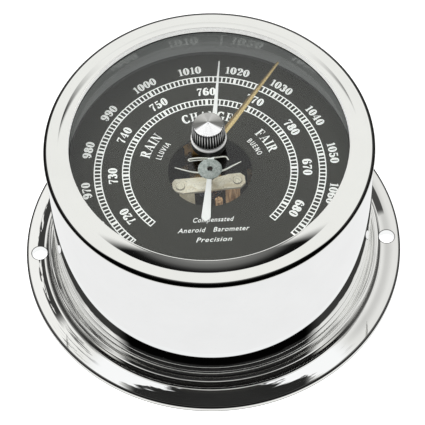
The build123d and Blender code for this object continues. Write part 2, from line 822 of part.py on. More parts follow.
# ---------------------------------------------------------------- base plate
with BuildPart() as base_plate:
    with BuildSketch(Plane.XY.offset(drum_z0)):
        Circle(48.5)
        Circle(adjuster_r + running, mode=Mode.SUBTRACT)
        with Locations(*movement_screw_places):
            Circle(1.3, mode=Mode.SUBTRACT)
        # six large round openings
        with PolarLocations(33, 6):
            Circle(5.5, mode=Mode.SUBTRACT)
    extrude(amount=base_t)
save(base_plate, "base_plate")

save_discs(
    "movement_screws",
    [(2.7, base_z1, 1.15), (base_z1, base_z1 + 1.4, 2.1)],
    movement_screw_places,
    slot=(4.6, 0.6, base_z1 + 0.8, slot_cut),
)
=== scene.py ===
"""Round aneroid barometer in a polished case, lying on its back on a pale floor.

The instrument's axis is +Z and the mounting flange rests on z = 0.  The dial faces up, twelve
o'clock is +Y and the reader stands on the -Y side, with +X to the right.  Pieces are drawn in
millimetres and stored in metres; lengths in the shaders are metres and their angles degrees.
"""
import math
from functools import reduce

import bmesh
import bpy
from mathutils import Matrix, Vector
from mathutils.geometry import delaunay_2d_cdt


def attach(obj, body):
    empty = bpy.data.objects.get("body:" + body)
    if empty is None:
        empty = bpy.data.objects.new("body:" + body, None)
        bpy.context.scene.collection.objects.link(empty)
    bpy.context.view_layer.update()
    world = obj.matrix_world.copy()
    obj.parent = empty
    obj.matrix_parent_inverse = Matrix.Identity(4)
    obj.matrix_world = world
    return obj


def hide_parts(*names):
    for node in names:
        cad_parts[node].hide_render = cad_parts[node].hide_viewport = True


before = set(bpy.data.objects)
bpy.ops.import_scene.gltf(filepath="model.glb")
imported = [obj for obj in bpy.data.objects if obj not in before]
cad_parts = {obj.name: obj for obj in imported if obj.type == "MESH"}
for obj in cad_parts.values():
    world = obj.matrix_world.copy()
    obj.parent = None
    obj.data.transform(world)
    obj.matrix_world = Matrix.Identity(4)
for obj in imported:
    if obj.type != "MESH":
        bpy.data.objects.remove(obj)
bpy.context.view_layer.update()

scene = bpy.context.scene
MM = 0.001

# driving dimensions, in millimetres
HOLE_OFFSET = 55.75                     # axis to the centre of each screw hole in the flange
HOLE_RADIUS = 2.5
DRUM_RADIUS, DRUM_BORE = 50.2, 48.7
DRUM_FOOT = 4.0
DIAL_BACK, DIAL_FACE = 44.0, 45.0       # heights of the dial plate's two sides
DIAL_RADIUS = 48.5
WALL_BORE, WALL_RADIUS = 44.5, 45.7     # upright wall round the dial
WALL_TOP = 55.5
GLASS_BACK, GLASS_FRONT = 56.7, 58.7
GLASS_RADIUS = 47.0
LIP_BACK = 59.3                         # underside of the bezel's lip
SPINDLE_BORE = 1.53
BUSH_NECK = 3.1                         # bush radius where it passes through the glass
BUSH_TOP = 62.6


def cosd(degrees):
    return math.cos(math.radians(degrees))


def sind(degrees):
    return math.sin(math.radians(degrees))


# =====================================================================
# shader node helpers
# =====================================================================
class Nodes:
    """A shader node tree with short ways to add nodes.  Any input may be a value or an output."""

    def __init__(self, tree):
        self.tree = tree

    def feed(self, socket, value):
        if isinstance(value, bpy.types.NodeSocket):
            self.tree.links.new(value, socket)
        else:
            socket.default_value = value

    def add(self, kind, inputs=None, **settings):
        node = self.tree.nodes.new("ShaderNode" + kind)
        for setting, value in settings.items():
            setattr(node, setting, value)
        for key, value in (inputs or {}).items():
            self.feed(node.inputs[key], value)
        return node

    def math(self, operation, *values):
        return self.add("Math", dict(enumerate(values)), operation=operation).outputs[0]

    def product(self, *values):
        return reduce(lambda a, b: self.math("MULTIPLY", a, b), values)

    def total(self, *values):
        return reduce(lambda a, b: self.math("ADD", a, b), values)

    def most(self, *values):
        return reduce(lambda a, b: self.math("MAXIMUM", a, b), values)

    def invert(self, value):
        return self.math("SUBTRACT", 1.0, value)

    def remap(self, value, to_low, to_high, low=0.3, high=0.7, **settings):
        """Maps low..high to to_low..to_high; the default range is where noise mostly lies."""
        return self.add("MapRange", {"Value": value, "From Min": low, "From Max": high,
                                     "To Min": to_low, "To Max": to_high}, **settings).outputs[0]

    def rise(self, value, low, high, to_low=0.0, to_high=1.0):
        return self.remap(value, to_low, to_high, low, high, interpolation_type="SMOOTHSTEP")

    def fall(self, value, low, high):
        return self.rise(value, low, high, to_low=1.0, to_high=0.0)

    def separate(self, vector):
        return list(self.add("SeparateXYZ", {0: vector}).outputs)

    def combine(self, *values):
        return self.add("CombineXYZ", dict(enumerate(values))).outputs[0]

    def length(self, x, y):
        flat = self.combine(x, y)
        return self.add("VectorMath", {0: flat}, operation="LENGTH").outputs["Value"]

    def hypot(self, x, y):
        return self.math("SQRT", self.total(self.product(x, x), self.product(y, y)))

    def azimuth(self, x, y):
        """Degrees round from the reader's side, negative to the left."""
        turn = self.math("ARCTAN2", x, self.product(y, -1.0))
        return self.product(turn, 180 / math.pi)

    def hole_distance(self, x, y, offset):
        """Distance from the nearer of two points at x = -offset and +offset."""
        return self.hypot(self.math("SUBTRACT", self.math("ABSOLUTE", x), offset), y)

    def noise(self, vector, scale, detail=2.0, roughness=0.5, distortion=0.0):
        return self.add("TexNoise", {
            "Vector": vector, "Scale": scale, "Detail": detail,
            "Roughness": roughness, "Distortion": distortion}).outputs["Fac"]

    def ramp(self, factor, stops):
        node = self.add("ValToRGB", {0: factor})
        elements = node.color_ramp.elements
        while len(elements) < len(stops):
            elements.new(0.5)
        for element, (position, color) in zip(elements, stops):
            element.position = position
            element.color = (*color, 1)
        return node.outputs[0]

    def emission(self, color, strength=1.0):
        return self.add("Emission", {"Color": (*color, 1), "Strength": strength})

    def mix_shader(self, factor, first, second):
        return self.add("MixShader", {0: factor, 1: first, 2: second}).outputs[0]


def grey(level):
    return (level, level, level)


class Material(Nodes):
    """A material round a Principled shader."""

    def __init__(self, name):
        self.material = bpy.data.materials.new(name)
        self.material.use_nodes = True
        super().__init__(self.material.node_tree)
        self.shader = self.tree.nodes["Principled BSDF"]
        self.coords = self.add("TexCoord")

    def set(self, **inputs):
        """Feeds the Principled shader; underscores stand for spaces."""
        for name, value in inputs.items():
            self.feed(self.shader.inputs[name.replace("_", " ")], value)

    def source(self, name):
        """The output now linked to the Principled shader's input."""
        return self.shader.inputs[name].links[0].from_socket

    def surface(self, output):
        self.feed(self.tree.nodes["Material Output"].inputs["Surface"], output)

    def mottle(self, scale, detail=3.0, roughness=0.55, stretch=None, distortion=0.0):
        """Noise in the object's own space."""
        vector = self.coords.outputs["Object"]
        if stretch:
            vector = self.add("Mapping", {"Scale": stretch, "Vector": vector}).outputs["Vector"]
        return self.noise(vector, scale, detail, roughness, distortion)

    def turning(self, around, outward, up):
        """Turned marks: noise by angle, radius and height, each with its own scale."""
        x, y, z = self.separate(self.coords.outputs["Object"])
        angle = self.math("ARCTAN2", y, x)
        vector = self.combine(self.product(angle, around),
                              self.product(self.length(x, y), outward), self.product(z, up))
        return self.noise(vector, scale=1.0)

    def bump(self, *layers):
        """Layers are (height output, depth in metres)."""
        inputs = {"Strength": 1.0}
        for height, depth in layers:
            inputs.update({"Distance": depth, "Height": height})
            inputs["Normal"] = self.add("Bump", inputs).outputs[0]
        self.set(Normal=inputs["Normal"])

    def object_xyz(self):
        return self.separate(self.add("TexCoord").outputs["Object"])

    def glow(self, strength):
        """Painted light: emits a little of its own colour, as light caught between the plates."""
        self.set(Emission_Color=self.source("Base Color"), Emission_Strength=strength)
        return self

    def tint(self, factor, color):
        """Mixes the base colour towards another."""
        mix = self.add("MixRGB", {0: factor, 1: self.source("Base Color"), 2: (*color, 1)})
        self.set(Base_Color=mix.outputs[0])

    def darken_rim(self, start, tilt_rise, tilt_fall, level, inner=None):
        """Painted reflection: darkens past the start radii, where it mirrors the room's horizon.

        The tilt pairs bound the height of the mirrored direction.  Inside the inner radius,
        if there is one, the surface glows white as painted light and is rougher.
        """
        coords = self.add("TexCoord").outputs
        x, y, _ = self.separate(coords["Object"])
        radius = self.length(x, y)
        tilt = self.separate(coords["Reflection"])[2]
        factor = self.product(self.rise(tilt, *tilt_rise), self.fall(tilt, *tilt_fall),
                              self.rise(radius, *start), level)
        if inner is not None:
            inside = self.fall(radius, inner - 0.00002, inner + 0.00002)
            rougher = self.total(self.source("Roughness"), self.product(inside, 0.5))
            self.set(Emission_Strength=self.product(inside, 0.55),
                     Emission_Color=(1, 1, 0.99, 1), Roughness=rougher)
        self.tint(factor, (0.016, 0.016, 0.015))


# =====================================================================
# materials
# =====================================================================
def metal(name, base, roughness, smudge, tint=None, wave=0.0, wave_scale=38, marks=None,
          depth=2e-6):
    """Bare metal.

    smudge adds roughness in patches, wave is the depth of slow dents, marks are the scales of
    turned marks (around, outward, up) and depth is that of the marks or of the fine grain.
    """
    mat = Material(name)
    patches = mat.mottle(90, detail=4, roughness=0.6)
    fine = mat.mottle(900, detail=3, roughness=0.6)
    if tint:
        stops = [(0.35, base), (0.65, tint)]
    else:
        stops = [(0.3, tuple(c * 0.97 for c in base)), (0.7, base)]
    mat.set(Metallic=1.0, Base_Color=mat.ramp(patches, stops),
            Roughness=mat.total(mat.remap(patches, 0, smudge),
                                mat.remap(fine, roughness * 0.8, roughness * 1.2)))
    layers = []
    if wave:
        layers.append((mat.mottle(wave_scale, detail=1.5, roughness=0.4), wave))
    layers.append((mat.turning(*marks), depth) if marks else (fine, depth * 0.25))
    mat.bump(*layers)
    return mat


def satin(name, low, high, metallic, roughness, scale=300, stretch=None, depth=2e-6, wave=0.0,
          detail=3.0, distortion=0.0):
    """Two-toned satin finish; depth is that of the fine grain, wave that of the patches."""
    mat = Material(name)
    patches = mat.mottle(scale, detail, 0.6, stretch, distortion)
    fine = mat.mottle(1600, detail=3, roughness=0.6)
    mat.set(Base_Color=mat.ramp(patches, [(0.32, low), (0.68, high)]), Metallic=metallic,
            Roughness=mat.remap(fine, roughness * 0.8, roughness * 1.25))
    mat.bump((fine, depth), *([(patches, wave)] if wave else []))
    return mat


def painted(name, scale, stops, rough_range, depth, detail=3.0, noise_roughness=0.55,
            grain_scale=None, **settings):
    """Paint or rubber; its bumps follow the mottling unless grain_scale gives their own."""
    mat = Material(name)
    patches = mat.mottle(scale, detail, noise_roughness)
    mat.set(Base_Color=mat.ramp(patches, stops), Roughness=mat.remap(patches, *rough_range),
            **settings)
    mat.bump((mat.mottle(grain_scale, detail=2) if grain_scale else patches, depth))
    return mat


chrome_flange = metal("chrome_flange", (0.90, 0.90, 0.87), roughness=0.03, smudge=0.02,
                      wave=3.5e-5, wave_scale=85, depth=1e-7)
chrome_bezel = metal("chrome_bezel", (0.85, 0.855, 0.82), roughness=0.035, smudge=0.015,
                     wave=4e-6, marks=(6.0, 9000.0, 9000.0), depth=2.5e-7)
# the glow() calls add painted light: each part emits some of its own colour
brass = metal("brass_lacquered", (0.78, 0.56, 0.27), roughness=0.16, smudge=0.08,
              tint=(0.66, 0.42, 0.20), marks=(3.0, 5000.0, 2500.0), depth=8e-7).glow(0.0)
nickel = metal("nickel_warm", (0.86, 0.81, 0.66), roughness=0.30, smudge=0.12,
               tint=(0.78, 0.73, 0.58), marks=(2.0, 3500.0, 800.0), depth=2.2e-6).glow(0.10)
steel = metal("steel_polished", (0.72, 0.72, 0.70), roughness=0.16, smudge=0.08,
              tint=(0.62, 0.62, 0.60), depth=1e-6)
blued_steel = metal("hairspring_blued", (0.10, 0.14, 0.28), roughness=0.2, smudge=0.05,
                    depth=5e-7)
capsule_bronze = metal("capsule_bronze", (0.74, 0.60, 0.40), roughness=0.22, smudge=0.12,
                       tint=(0.66, 0.48, 0.30), marks=(2.0, 4000.0, 100.0),
                       depth=1e-6).glow(0.02)
zinc = metal("zinc_plate", (0.66, 0.66, 0.63), roughness=0.30, smudge=0.12,
             tint=(0.58, 0.58, 0.54), marks=(5.0, 3500.0, 400.0))
hand_gilt = metal("hand_gilt", (0.86, 0.66, 0.33), roughness=0.20, smudge=0.08,
                  tint=(0.74, 0.56, 0.27)).glow(0.10)

# the glow() calls add painted light: each part emits some of its own colour
ring_satin = satin("ring_satin", (0.215, 0.222, 0.218), (0.26, 0.27, 0.265), metallic=0.22,
                   roughness=0.17, scale=40, stretch=(1, 1, 6), depth=3e-7).glow(0.30)
bridge_nickel = satin("bridge_nickel", (0.70, 0.62, 0.45), (0.97, 0.93, 0.80), metallic=0.30,
                      roughness=0.30, scale=190, depth=3e-6, wave=1.2e-4,
                      distortion=0.8).glow(0.16)
bridge_screw = satin("bridge_screw_nickel", (0.74, 0.68, 0.52), (0.90, 0.85, 0.70),
                     metallic=0.35, roughness=0.28, scale=500).glow(0.14)
post_cream = satin("post_cream", (0.62, 0.54, 0.38), (0.95, 0.88, 0.68), metallic=0.2,
                   roughness=0.3, scale=420, stretch=(1, 1, 0.25)).glow(0.30)
# painted reflections: the dark and bright vertical streaks in its colour
pillar_bronze = satin("pillar_bronze.001", (0.16, 0.07, 0.03), (0.92, 0.62, 0.36),
                      metallic=0.45, roughness=0.22, scale=1400, stretch=(1, 1, 0.08),
                      detail=1.5).glow(0.30)
wire = satin("wire_bright.001", (0.82, 0.82, 0.74), (0.98, 0.98, 0.93), metallic=0.1,
             roughness=0.3, scale=700).glow(0.20)
washer_bright = satin("washer_bright", (0.90, 0.90, 0.88), (0.98, 0.98, 0.97), metallic=0.25,
                      roughness=0.22, scale=500, depth=5e-7)
collar_black = satin("collar_blackened", (0.010, 0.010, 0.010), (0.028, 0.028, 0.027),
                     metallic=0.3, roughness=0.32, scale=600)


def make_knob_spun():
    """Knurled knob: bright crests, painted shade in the grooves and low on the wall,
    and painted reflections on the spun cone, set by what it mirrors.
    """
    mat = Material("knob_spun")
    coords = mat.coords.outputs
    x, y, z = mat.separate(coords["Object"])
    # the knurled wall tapers, so the depth is taken from the crest radius at each height
    crest = mat.remap(z, to_low=0.00518, to_high=0.00486, low=0.0643, high=0.0691)
    depth = mat.math("SUBTRACT", crest, mat.length(x, y))
    # painted shade: the base colour darkens in the grooves and low on the wall
    groove = mat.remap(depth, to_low=1.0, to_high=0.02, low=0.00002, high=0.00016)
    foot = mat.remap(z, to_low=0.10, to_high=1.0, low=0.0652, high=0.0676)
    wall = mat.remap(z, to_low=0.0, to_high=1.0, low=0.06998, high=0.06985)
    groove_shade = mat.add("Mix", {0: wall, 2: 1.0, 3: mat.product(groove, foot)},
                   data_type="FLOAT").outputs[0]
    # painted reflection: the cone's colour follows the direction it mirrors
    lean = mat.product(mat.separate(coords["Reflection"])[1], 1.0)
    cone = mat.ramp(lean, [
        (0.0, (1, 1, 1)), (0.30, (0.97, 0.97, 0.97)), (0.42, (0.20, 0.20, 0.19)),
        (0.62, (0.16, 0.16, 0.15)), (0.80, (0.40, 0.40, 0.38)), (0.93, (0.55, 0.55, 0.53)),
        (1.0, (0.22, 0.22, 0.21))])
    tone = mat.add("Mix", {0: wall, 6: cone, 7: (1, 1, 1, 1)}, data_type="RGBA").outputs[2]
    base = mat.add("Mix", {0: 1.0, 6: tone, 7: mat.combine(groove_shade, groove_shade, groove_shade)},
                   data_type="RGBA", blend_type="MULTIPLY").outputs[2]
    marks = mat.turning(3.0, 16000.0, 2000.0)
    # crests catch light from all round, the cone stays a mirror
    mat.set(Base_Color=base, Roughness=mat.remap(marks, 0.10, 0.22),
            Metallic=mat.remap(wall, to_low=0.9, to_high=0.25, low=0.0, high=1.0))
    mat.bump((marks, 8e-7))
    return mat


def make_dial_enamel():
    mat = Material("dial_enamel")
    speckle = mat.mottle(2600, detail=2.5, roughness=0.75)
    patches = mat.mottle(70)
    color = mat.ramp(speckle, [(0.30, (0.0395, 0.0390, 0.0310)), (0.55, (0.0405, 0.0400, 0.0318)),
                               (0.72, (0.0415, 0.0410, 0.0326))])
    shade = mat.ramp(patches, [(0.3, (0.93, 0.93, 0.93)), (0.7, (1.05, 1.05, 1.04))])
    base = mat.add("MixRGB", {0: 1.0, 1: color, 2: shade}, blend_type="MULTIPLY").outputs[0]
    mat.set(Base_Color=base, Roughness=mat.remap(patches, 0.56, 0.62), Specular_IOR_Level=0.25)
    mat.bump((patches, 1e-6))
    return mat


def make_hub_zinc():
    mat = Material("hub_tarnished_zinc")
    speckle = mat.mottle(1300, detail=5, roughness=0.75)
    blots = mat.mottle(420, detail=4, roughness=0.6, distortion=0.6)
    mat.set(Base_Color=mat.ramp(speckle, [(0.30, (0.30, 0.35, 0.33)), (0.45, (0.58, 0.64, 0.61)),
                                          (0.62, (0.84, 0.88, 0.86))]),
            Roughness=mat.remap(blots, 0.35, 0.7), Metallic=0.12)
    mat.bump((speckle, 8e-6), (blots, 1.2e-5))
    return mat


def make_glass():
    """Clear glass: light passes straight through, with a weakened Fresnel reflection."""
    mat = Material("mineral_glass")
    clear = mat.add("BsdfTransparent", {"Color": (0.975, 0.985, 0.98, 1)})
    patches = mat.mottle(60, detail=2)
    ripple = mat.add("Bump", {"Distance": 1e-7, "Height": patches})
    mirror = mat.add("BsdfGlossy", {"Roughness": mat.remap(patches, 0.0, 0.012),
                                    "Normal": ripple.outputs[0]})
    share = mat.product(mat.add("Fresnel", {"IOR": 1.5}).outputs[0], 0.55)
    mat.surface(mat.mix_shader(share, clear.outputs[0], mirror.outputs[0]))
    return mat


knob_spun = make_knob_spun()
blackened = painted("plate_blackened", scale=160, detail=4, grain_scale=2200, depth=6e-6,
                    stops=[(0.3, (0.018, 0.016, 0.014)), (0.7, (0.04, 0.035, 0.03))],
                    rough_range=(0.4, 0.6), Metallic=0.4)
dial_enamel = make_dial_enamel()
# the print glows a little: painted light
print_white = painted("print_white", scale=1500, detail=2, depth=1.5e-6,
                      stops=[(0.3, (0.96, 0.965, 0.94)), (0.7, (1.0, 1.0, 0.98))],
                      rough_range=(0.45, 0.6),
                      Emission_Color=(1.0, 1.0, 0.97, 1), Emission_Strength=0.32)
# the white blade glows a little: painted light
hand_white = painted("hand_white_enamel", scale=700, grain_scale=1400, depth=3e-6,
                     stops=[(0.3, (0.93, 0.94, 0.92)), (0.7, (0.99, 0.99, 0.98))],
                     rough_range=(0.28, 0.42),
                     Emission_Color=(1.0, 1.0, 0.98, 1), Emission_Strength=0.25)
hub_zinc = make_hub_zinc()
hub_dark = painted("hub_recess_dark", scale=2200, detail=4, noise_roughness=0.7, depth=4e-5,
                   stops=[(0.35, (0.012, 0.010, 0.010)), (0.7, (0.07, 0.05, 0.045))],
                   rough_range=(0.4, 0.8))
rubber = painted("gasket_rubber", scale=1800, depth=5e-6,
                 stops=[(0.3, (0.012, 0.012, 0.012)), (0.7, (0.028, 0.028, 0.027))],
                 rough_range=(0.6, 0.8))
glass = make_glass()
chrome_drum = metal("chrome_drum", (0.93, 0.935, 0.935), roughness=0.012, smudge=0.008,
                    wave=4e-5, depth=1e-7)
wall_satin = satin("wall_satin", (0.215, 0.222, 0.218), (0.26, 0.27, 0.265), metallic=0.26,
                   roughness=0.10, scale=40, stretch=(1, 1, 6), depth=2e-7)


def shade_flange(mat):
    """Painted reflections and shade: dark and pale patches on the flange;
    pairs of numbers are where each edge starts and ends.
    """
    product, total, most, rise, fall = mat.product, mat.total, mat.most, mat.rise, mat.fall
    x, y, z = mat.object_xyz()
    azimuth = mat.azimuth(x, y)
    radius = mat.hypot(x, y)
    side_angle = mat.math("ABSOLUTE", azimuth)
    seen = mat.add("LightPath").outputs["Is Camera Ray"]
    mirrored = mat.invert(seen)

    def ring(start, end):
        return product(rise(radius, *start), fall(radius, *end))

    def sector(start, end, angle=azimuth):
        return product(rise(angle, *start), fall(angle, *end))

    def streaks(around, outward, up, detail, seed):
        vector = mat.combine(total(product(azimuth, around), seed), product(radius, outward),
                             product(z, up))
        return mat.noise(vector, scale=1.0, detail=detail, roughness=0.6, distortion=0.8)

    broad = streaks(around=0.10, outward=900.0, up=300.0, detail=3.0, seed=0.0)
    thin = streaks(around=0.035, outward=5200.0, up=2600.0, detail=2.0, seed=31.0)
    mixed = streaks(around=0.06, outward=1500.0, up=500.0, detail=4.0, seed=57.0)
    land = rise(z, 0.00245, 0.00255)    # the flat top of the flange

    # painted reflection: pale wedges closing in over the dark front of the land
    wobble = product(mat.math("SUBTRACT", broad, 0.5), 26.0)
    edge = rise(radius, 0.0542, 0.0592, to_low=17.0, to_high=33.0)
    past_edge = mat.math("SUBTRACT", total(side_angle, wobble), edge)
    wedges = product(rise(past_edge, -1.5, 1.5), ring((0.0536, 0.0540), (0.0590, 0.0595)),
                     fall(side_angle, 40.0, 48.0))

    # left: a painted dark reflection on the inner half of the land, breaking up towards the front
    breakup = total(broad, rise(radius, 0.0546, 0.0558, to_low=0.25, to_high=0.0))
    left_band = product(sector((-134.0, -122.0), (-66.0, -58.0)),
                        ring((0.0542, 0.0544), (0.0563, 0.0567)), rise(breakup, 0.42, 0.47))
    left_mottled_reflection = product(sector((-64.0, -54.0), (-36.0, -28.0)), rise(mixed, 0.53, 0.60),
                          rise(radius, 0.0540, 0.0543), 0.85)
    # right: painted reflections, softly shaded land with one dark patch towards the back
    hollow = total(product(ring((0.0542, 0.0556), (0.0559, 0.0582)), 0.20),
                   product(rise(radius, 0.0540, 0.0542), 0.13))
    right_shade = product(sector((36.0, 58.0), (128.0, 142.0)), hollow)
    right_dark_reflection = product(sector((97.0, 101.0), (128.0, 134.0)),
                          ring((0.0541, 0.0543), (0.0562, 0.0566)), 0.97)
    right_mottled_reflection = product(sector((28.0, 34.0), (42.0, 50.0)), rise(mixed, 0.55, 0.62),
                           rise(radius, 0.0538, 0.0541), 0.6)
    on_land = product(most(left_band, left_mottled_reflection, right_shade, right_dark_reflection, right_mottled_reflection), land)

    # bead and step: painted reflections, fine dark lines round both sides
    bead_zone = product(ring((0.0490, 0.0502), (0.0538, 0.0541)),
                        sector((34.0, 46.0), (118.0, 128.0), side_angle))
    bead = product(bead_zone, total(rise(thin, 0.40, 0.62, to_high=0.62),
                                    rise(thin, 0.60, 0.64, to_high=0.30)))
    left_bead = product(ring((0.0488, 0.0492), (0.0536, 0.0539)),
                        sector((-132.0, -122.0), (-50.0, -34.0)),
                        rise(thin, 0.43, 0.49, to_high=0.96))
    foot = product(ring((0.0528, 0.0530), (0.0535, 0.0537)),
                   sector((40.0, 50.0), (122.0, 130.0), side_angle), 0.9)

    # painted reflections: dark top edge and underside of the rim; the far outer limit is beyond the
    # flange
    beyond = (0.07, 0.08)
    rim_top = product(ring((0.05925, 0.0594), beyond), rise(z, 0.0019, 0.0021), 0.92)
    rim_under = product(ring((0.0590, 0.0592), beyond), fall(z, 0.0007, 0.0010), 0.85)

    # painted shade: thin dark edge round each screw hole; painted light: its pale wall
    hole_x, hole_y, _ = mat.object_xyz()
    from_hole = mat.hole_distance(hole_x, hole_y, offset=0.05575)
    hole_edge = product(fall(from_hole, 0.00270, 0.00276), land, 0.9)
    hole_wall = product(fall(from_hole, 0.00250, 0.00252), fall(z, 0.0024, 0.0025))

    # patches are weaker in reflections
    patch_strength = total(product(seen, 0.6), 0.4)
    dark = most(product(most(on_land, bead, left_bead, foot), patch_strength),
                rim_top, rim_under, hole_edge)
    # painted reflection, what the drum mirrors of the flange: a dark line round the land, pale
    # beyond it
    mirror_line = product(rise(total(radius, product(broad, 0.0012)), 0.0560, 0.0564),
                          fall(radius, 0.0583, 0.0585))
    dark = most(dark, product(mirrored, mirror_line))
    pale = total(product(seen, most(wedges, hole_wall)),
                 product(mirrored, rise(radius, 0.0584, 0.0586)))
    # painted reflections and shade tint the base colour dark; the pale ones are white emission
    mat.tint(product(dark, 0.97), (0.016, 0.016, 0.015))
    white = mat.emission((0.93, 0.94, 0.94)).outputs[0]
    mat.surface(mat.mix_shader(pale, mat.shader.outputs[0], white))


def shade_wall(mat):
    """Painted shadow: a dark line at the foot of the wall round the dial."""
    z = mat.object_xyz()[2]
    mat.tint(mat.product(mat.fall(z, 0.0464, 0.0468), 0.85), (0.02, 0.02, 0.019))


def shade_hand(mat):
    """Painted shade: facets facing left and back are tinted brown."""
    normal = mat.add("NewGeometry").outputs["Normal"]
    facing = mat.add("VectorMath", {0: normal, 1: (0.817, -0.576, 0.0)},
                     operation="DOT_PRODUCT").outputs["Value"]
    mat.tint(mat.rise(facing, -0.22, -0.05, to_low=0.78, to_high=0.0), (0.26, 0.155, 0.06))


def shade_screw_heads(mat):
    """Painted shade: a dark line round the screw heads, where the surface turns down."""
    up = mat.separate(mat.add("NewGeometry").outputs["Normal"])[2]
    mat.tint(mat.rise(up, 0.80, 0.93, to_low=0.85, to_high=0.0), (0.05, 0.042, 0.03))


# painted reflections, shade and light in the materials' colours
shade_flange(chrome_flange)
shade_wall(wall_satin)
# painted light: the wall round the dial glows a little
wall_satin.glow(0.30)
# painted reflections of the horizon on the bezel and flange rims; painted light on the lip's inner
# wall
chrome_bezel.darken_rim(start=(0.0487, 0.0492), tilt_rise=(-0.70, -0.62), tilt_fall=(0.56, 0.66),
                        level=0.97, inner=0.04294)
chrome_flange.darken_rim(start=(0.0591, 0.0594), tilt_rise=(-0.80, -0.70), tilt_fall=(0.60, 0.70),
                         level=0.93)
shade_hand(hand_gilt)
shade_screw_heads(bridge_screw)


# =====================================================================
# mesh helpers
# =====================================================================
def add_object(name, mesh, material, body, replaces=()):
    obj = bpy.data.objects.new(name, mesh)
    scene.collection.objects.link(obj)
    mesh.materials.append(material.material)
    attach(obj, body)
    if replaces:
        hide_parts(*replaces)
    return obj


def smooth_below(bm, degrees):
    """Smooths all faces and marks edges steeper than the angle as sharp."""
    for face in bm.faces:
        face.smooth = True
    for edge in bm.edges:
        if len(edge.link_faces) == 2 and edge.calc_face_angle(0) > math.radians(degrees):
            edge.smooth = False


def new_object(name, verts, faces, material, body, replaces=(), smooth=True):
    """Object from vertices in millimetres."""
    mesh = bpy.data.meshes.new(name)
    mesh.from_pydata([tuple(c * MM for c in v) for v in verts], [], faces)
    mesh.update()
    bm = bmesh.new()
    bm.from_mesh(mesh)
    bmesh.ops.remove_doubles(bm, verts=bm.verts, dist=1e-8)
    bmesh.ops.recalc_face_normals(bm, faces=bm.faces)
    if smooth:
        smooth_below(bm, 38)
    bm.to_mesh(mesh)
    bm.free()
    return add_object(name, mesh, material, body, replaces)


def arc_through(start, middle, end, steps):
    """Points on the circle through three points, from start to end."""
    (ax, ay), (bx, by), (cx, cy) = start, middle, end
    d = 2 * (ax * (by - cy) + bx * (cy - ay) + cx * (ay - by))
    a2, b2, c2 = ax * ax + ay * ay, bx * bx + by * by, cx * cx + cy * cy
    ux = (a2 * (by - cy) + b2 * (cy - ay) + c2 * (ay - by)) / d
    uy = (a2 * (cx - bx) + b2 * (ax - cx) + c2 * (bx - ax)) / d
    radius = math.hypot(ax - ux, ay - uy)
    first, mid, last = (math.atan2(py - uy, px - ux) for px, py in (start, middle, end))
    tau = 2 * math.pi
    if (mid - first) % tau < (last - first) % tau:
        span = (last - first) % tau
    else:
        span = -((first - last) % tau)
    angles = [first + span * i / steps for i in range(steps + 1)]
    return [(ux + radius * math.cos(a), uy + radius * math.sin(a)) for a in angles]


def rounded(points, steps=5):
    """Rounds the corners of a closed section of (r, z) or (r, z, corner radius) points.

    Long runs get support points near their ends.
    """
    outline = []
    for i, point in enumerate(points):
        if len(point) < 3:
            outline.append(point)
            continue
        corner = Vector(point[:2])
        back = Vector(points[i - 1][:2]) - corner
        ahead = Vector(points[(i + 1) % len(points)][:2]) - corner
        back_length, ahead_length = back.length, ahead.length
        back /= back_length
        ahead /= ahead_length
        half = math.acos(max(-1, min(1, back.dot(ahead)))) / 2
        reach = min(point[2] / math.tan(half), back_length * 0.49, ahead_length * 0.49)
        radius = reach * math.tan(half)
        inward = (back + ahead).normalized()
        middle = corner + inward * (radius / math.sin(half)) - inward * radius
        outline += arc_through(tuple(corner + back * reach), tuple(middle),
                               tuple(corner + ahead * reach), steps)
    result = []
    for i, point in enumerate(outline):
        start, end = Vector(point), Vector(outline[(i + 1) % len(outline)])
        result.append(tuple(start))
        length = (end - start).length
        if length > 0.5:
            along = (end - start) / length
            result.append(tuple(start + along * 0.06))
            result.append(tuple(end - along * 0.06))
    return result


def lathe(name, profile, material, replaces=(), body="case", segments=256, reshape=None):
    """Revolves a closed (r, z) profile about the axis.

    reshape(angle, index, radius) may return a changed radius.
    """
    verts, faces, rings = [], [], []
    for i, (radius, z) in enumerate(profile):
        if radius < 1e-6:
            verts.append((0, 0, z))
            rings.append([len(verts) - 1] * segments)
            continue
        ring = []
        for k in range(segments):
            angle = 2 * math.pi * k / segments
            r = reshape(angle, i, radius) if reshape else radius
            ring.append(len(verts))
            verts.append((r * math.cos(angle), r * math.sin(angle), z))
        rings.append(ring)
    for i, ring in enumerate(rings):
        following = rings[(i + 1) % len(rings)]
        for k in range(segments):
            j = (k + 1) % segments
            # on the axis corners coincide, so repeats are dropped
            face = list(dict.fromkeys([ring[k], ring[j], following[j], following[k]]))
            if len(face) >= 3:
                faces.append(face)
    return new_object(name, verts, faces, material, body, replaces)


def grid_faces(rows, sides):
    """Quads joining rows of points round a closed section, with a cap at each end."""
    faces = [[i * sides + k, i * sides + (k + 1) % sides,
              (i + 1) * sides + (k + 1) % sides, (i + 1) * sides + k]
             for i in range(rows - 1) for k in range(sides)]
    last = (rows - 1) * sides
    return faces + [list(range(sides)), list(range(last, last + sides))]


def tube(name, points, radii, material, replaces=(), flat=1.0):
    """Wire of the pressure hand; radii is one number or one for each point."""
    sides = 12
    verts = []
    path = [Vector(p) for p in points]
    for i, point in enumerate(path):
        along = (path[min(i + 1, len(path) - 1)] - path[max(i - 1, 0)]).normalized()
        side = along.cross(Vector((0, 0, 1))).normalized()
        up = side.cross(along).normalized()
        radius = radii[i] if isinstance(radii, list) else radii
        for k in range(sides):
            a = 2 * math.pi * k / sides
            verts.append(tuple(point + side * (radius * math.cos(a))
                               + up * (radius * flat * math.sin(a))))
    return new_object(name, verts, grid_faces(len(path), sides), material, "pressure_hand",
                      replaces)


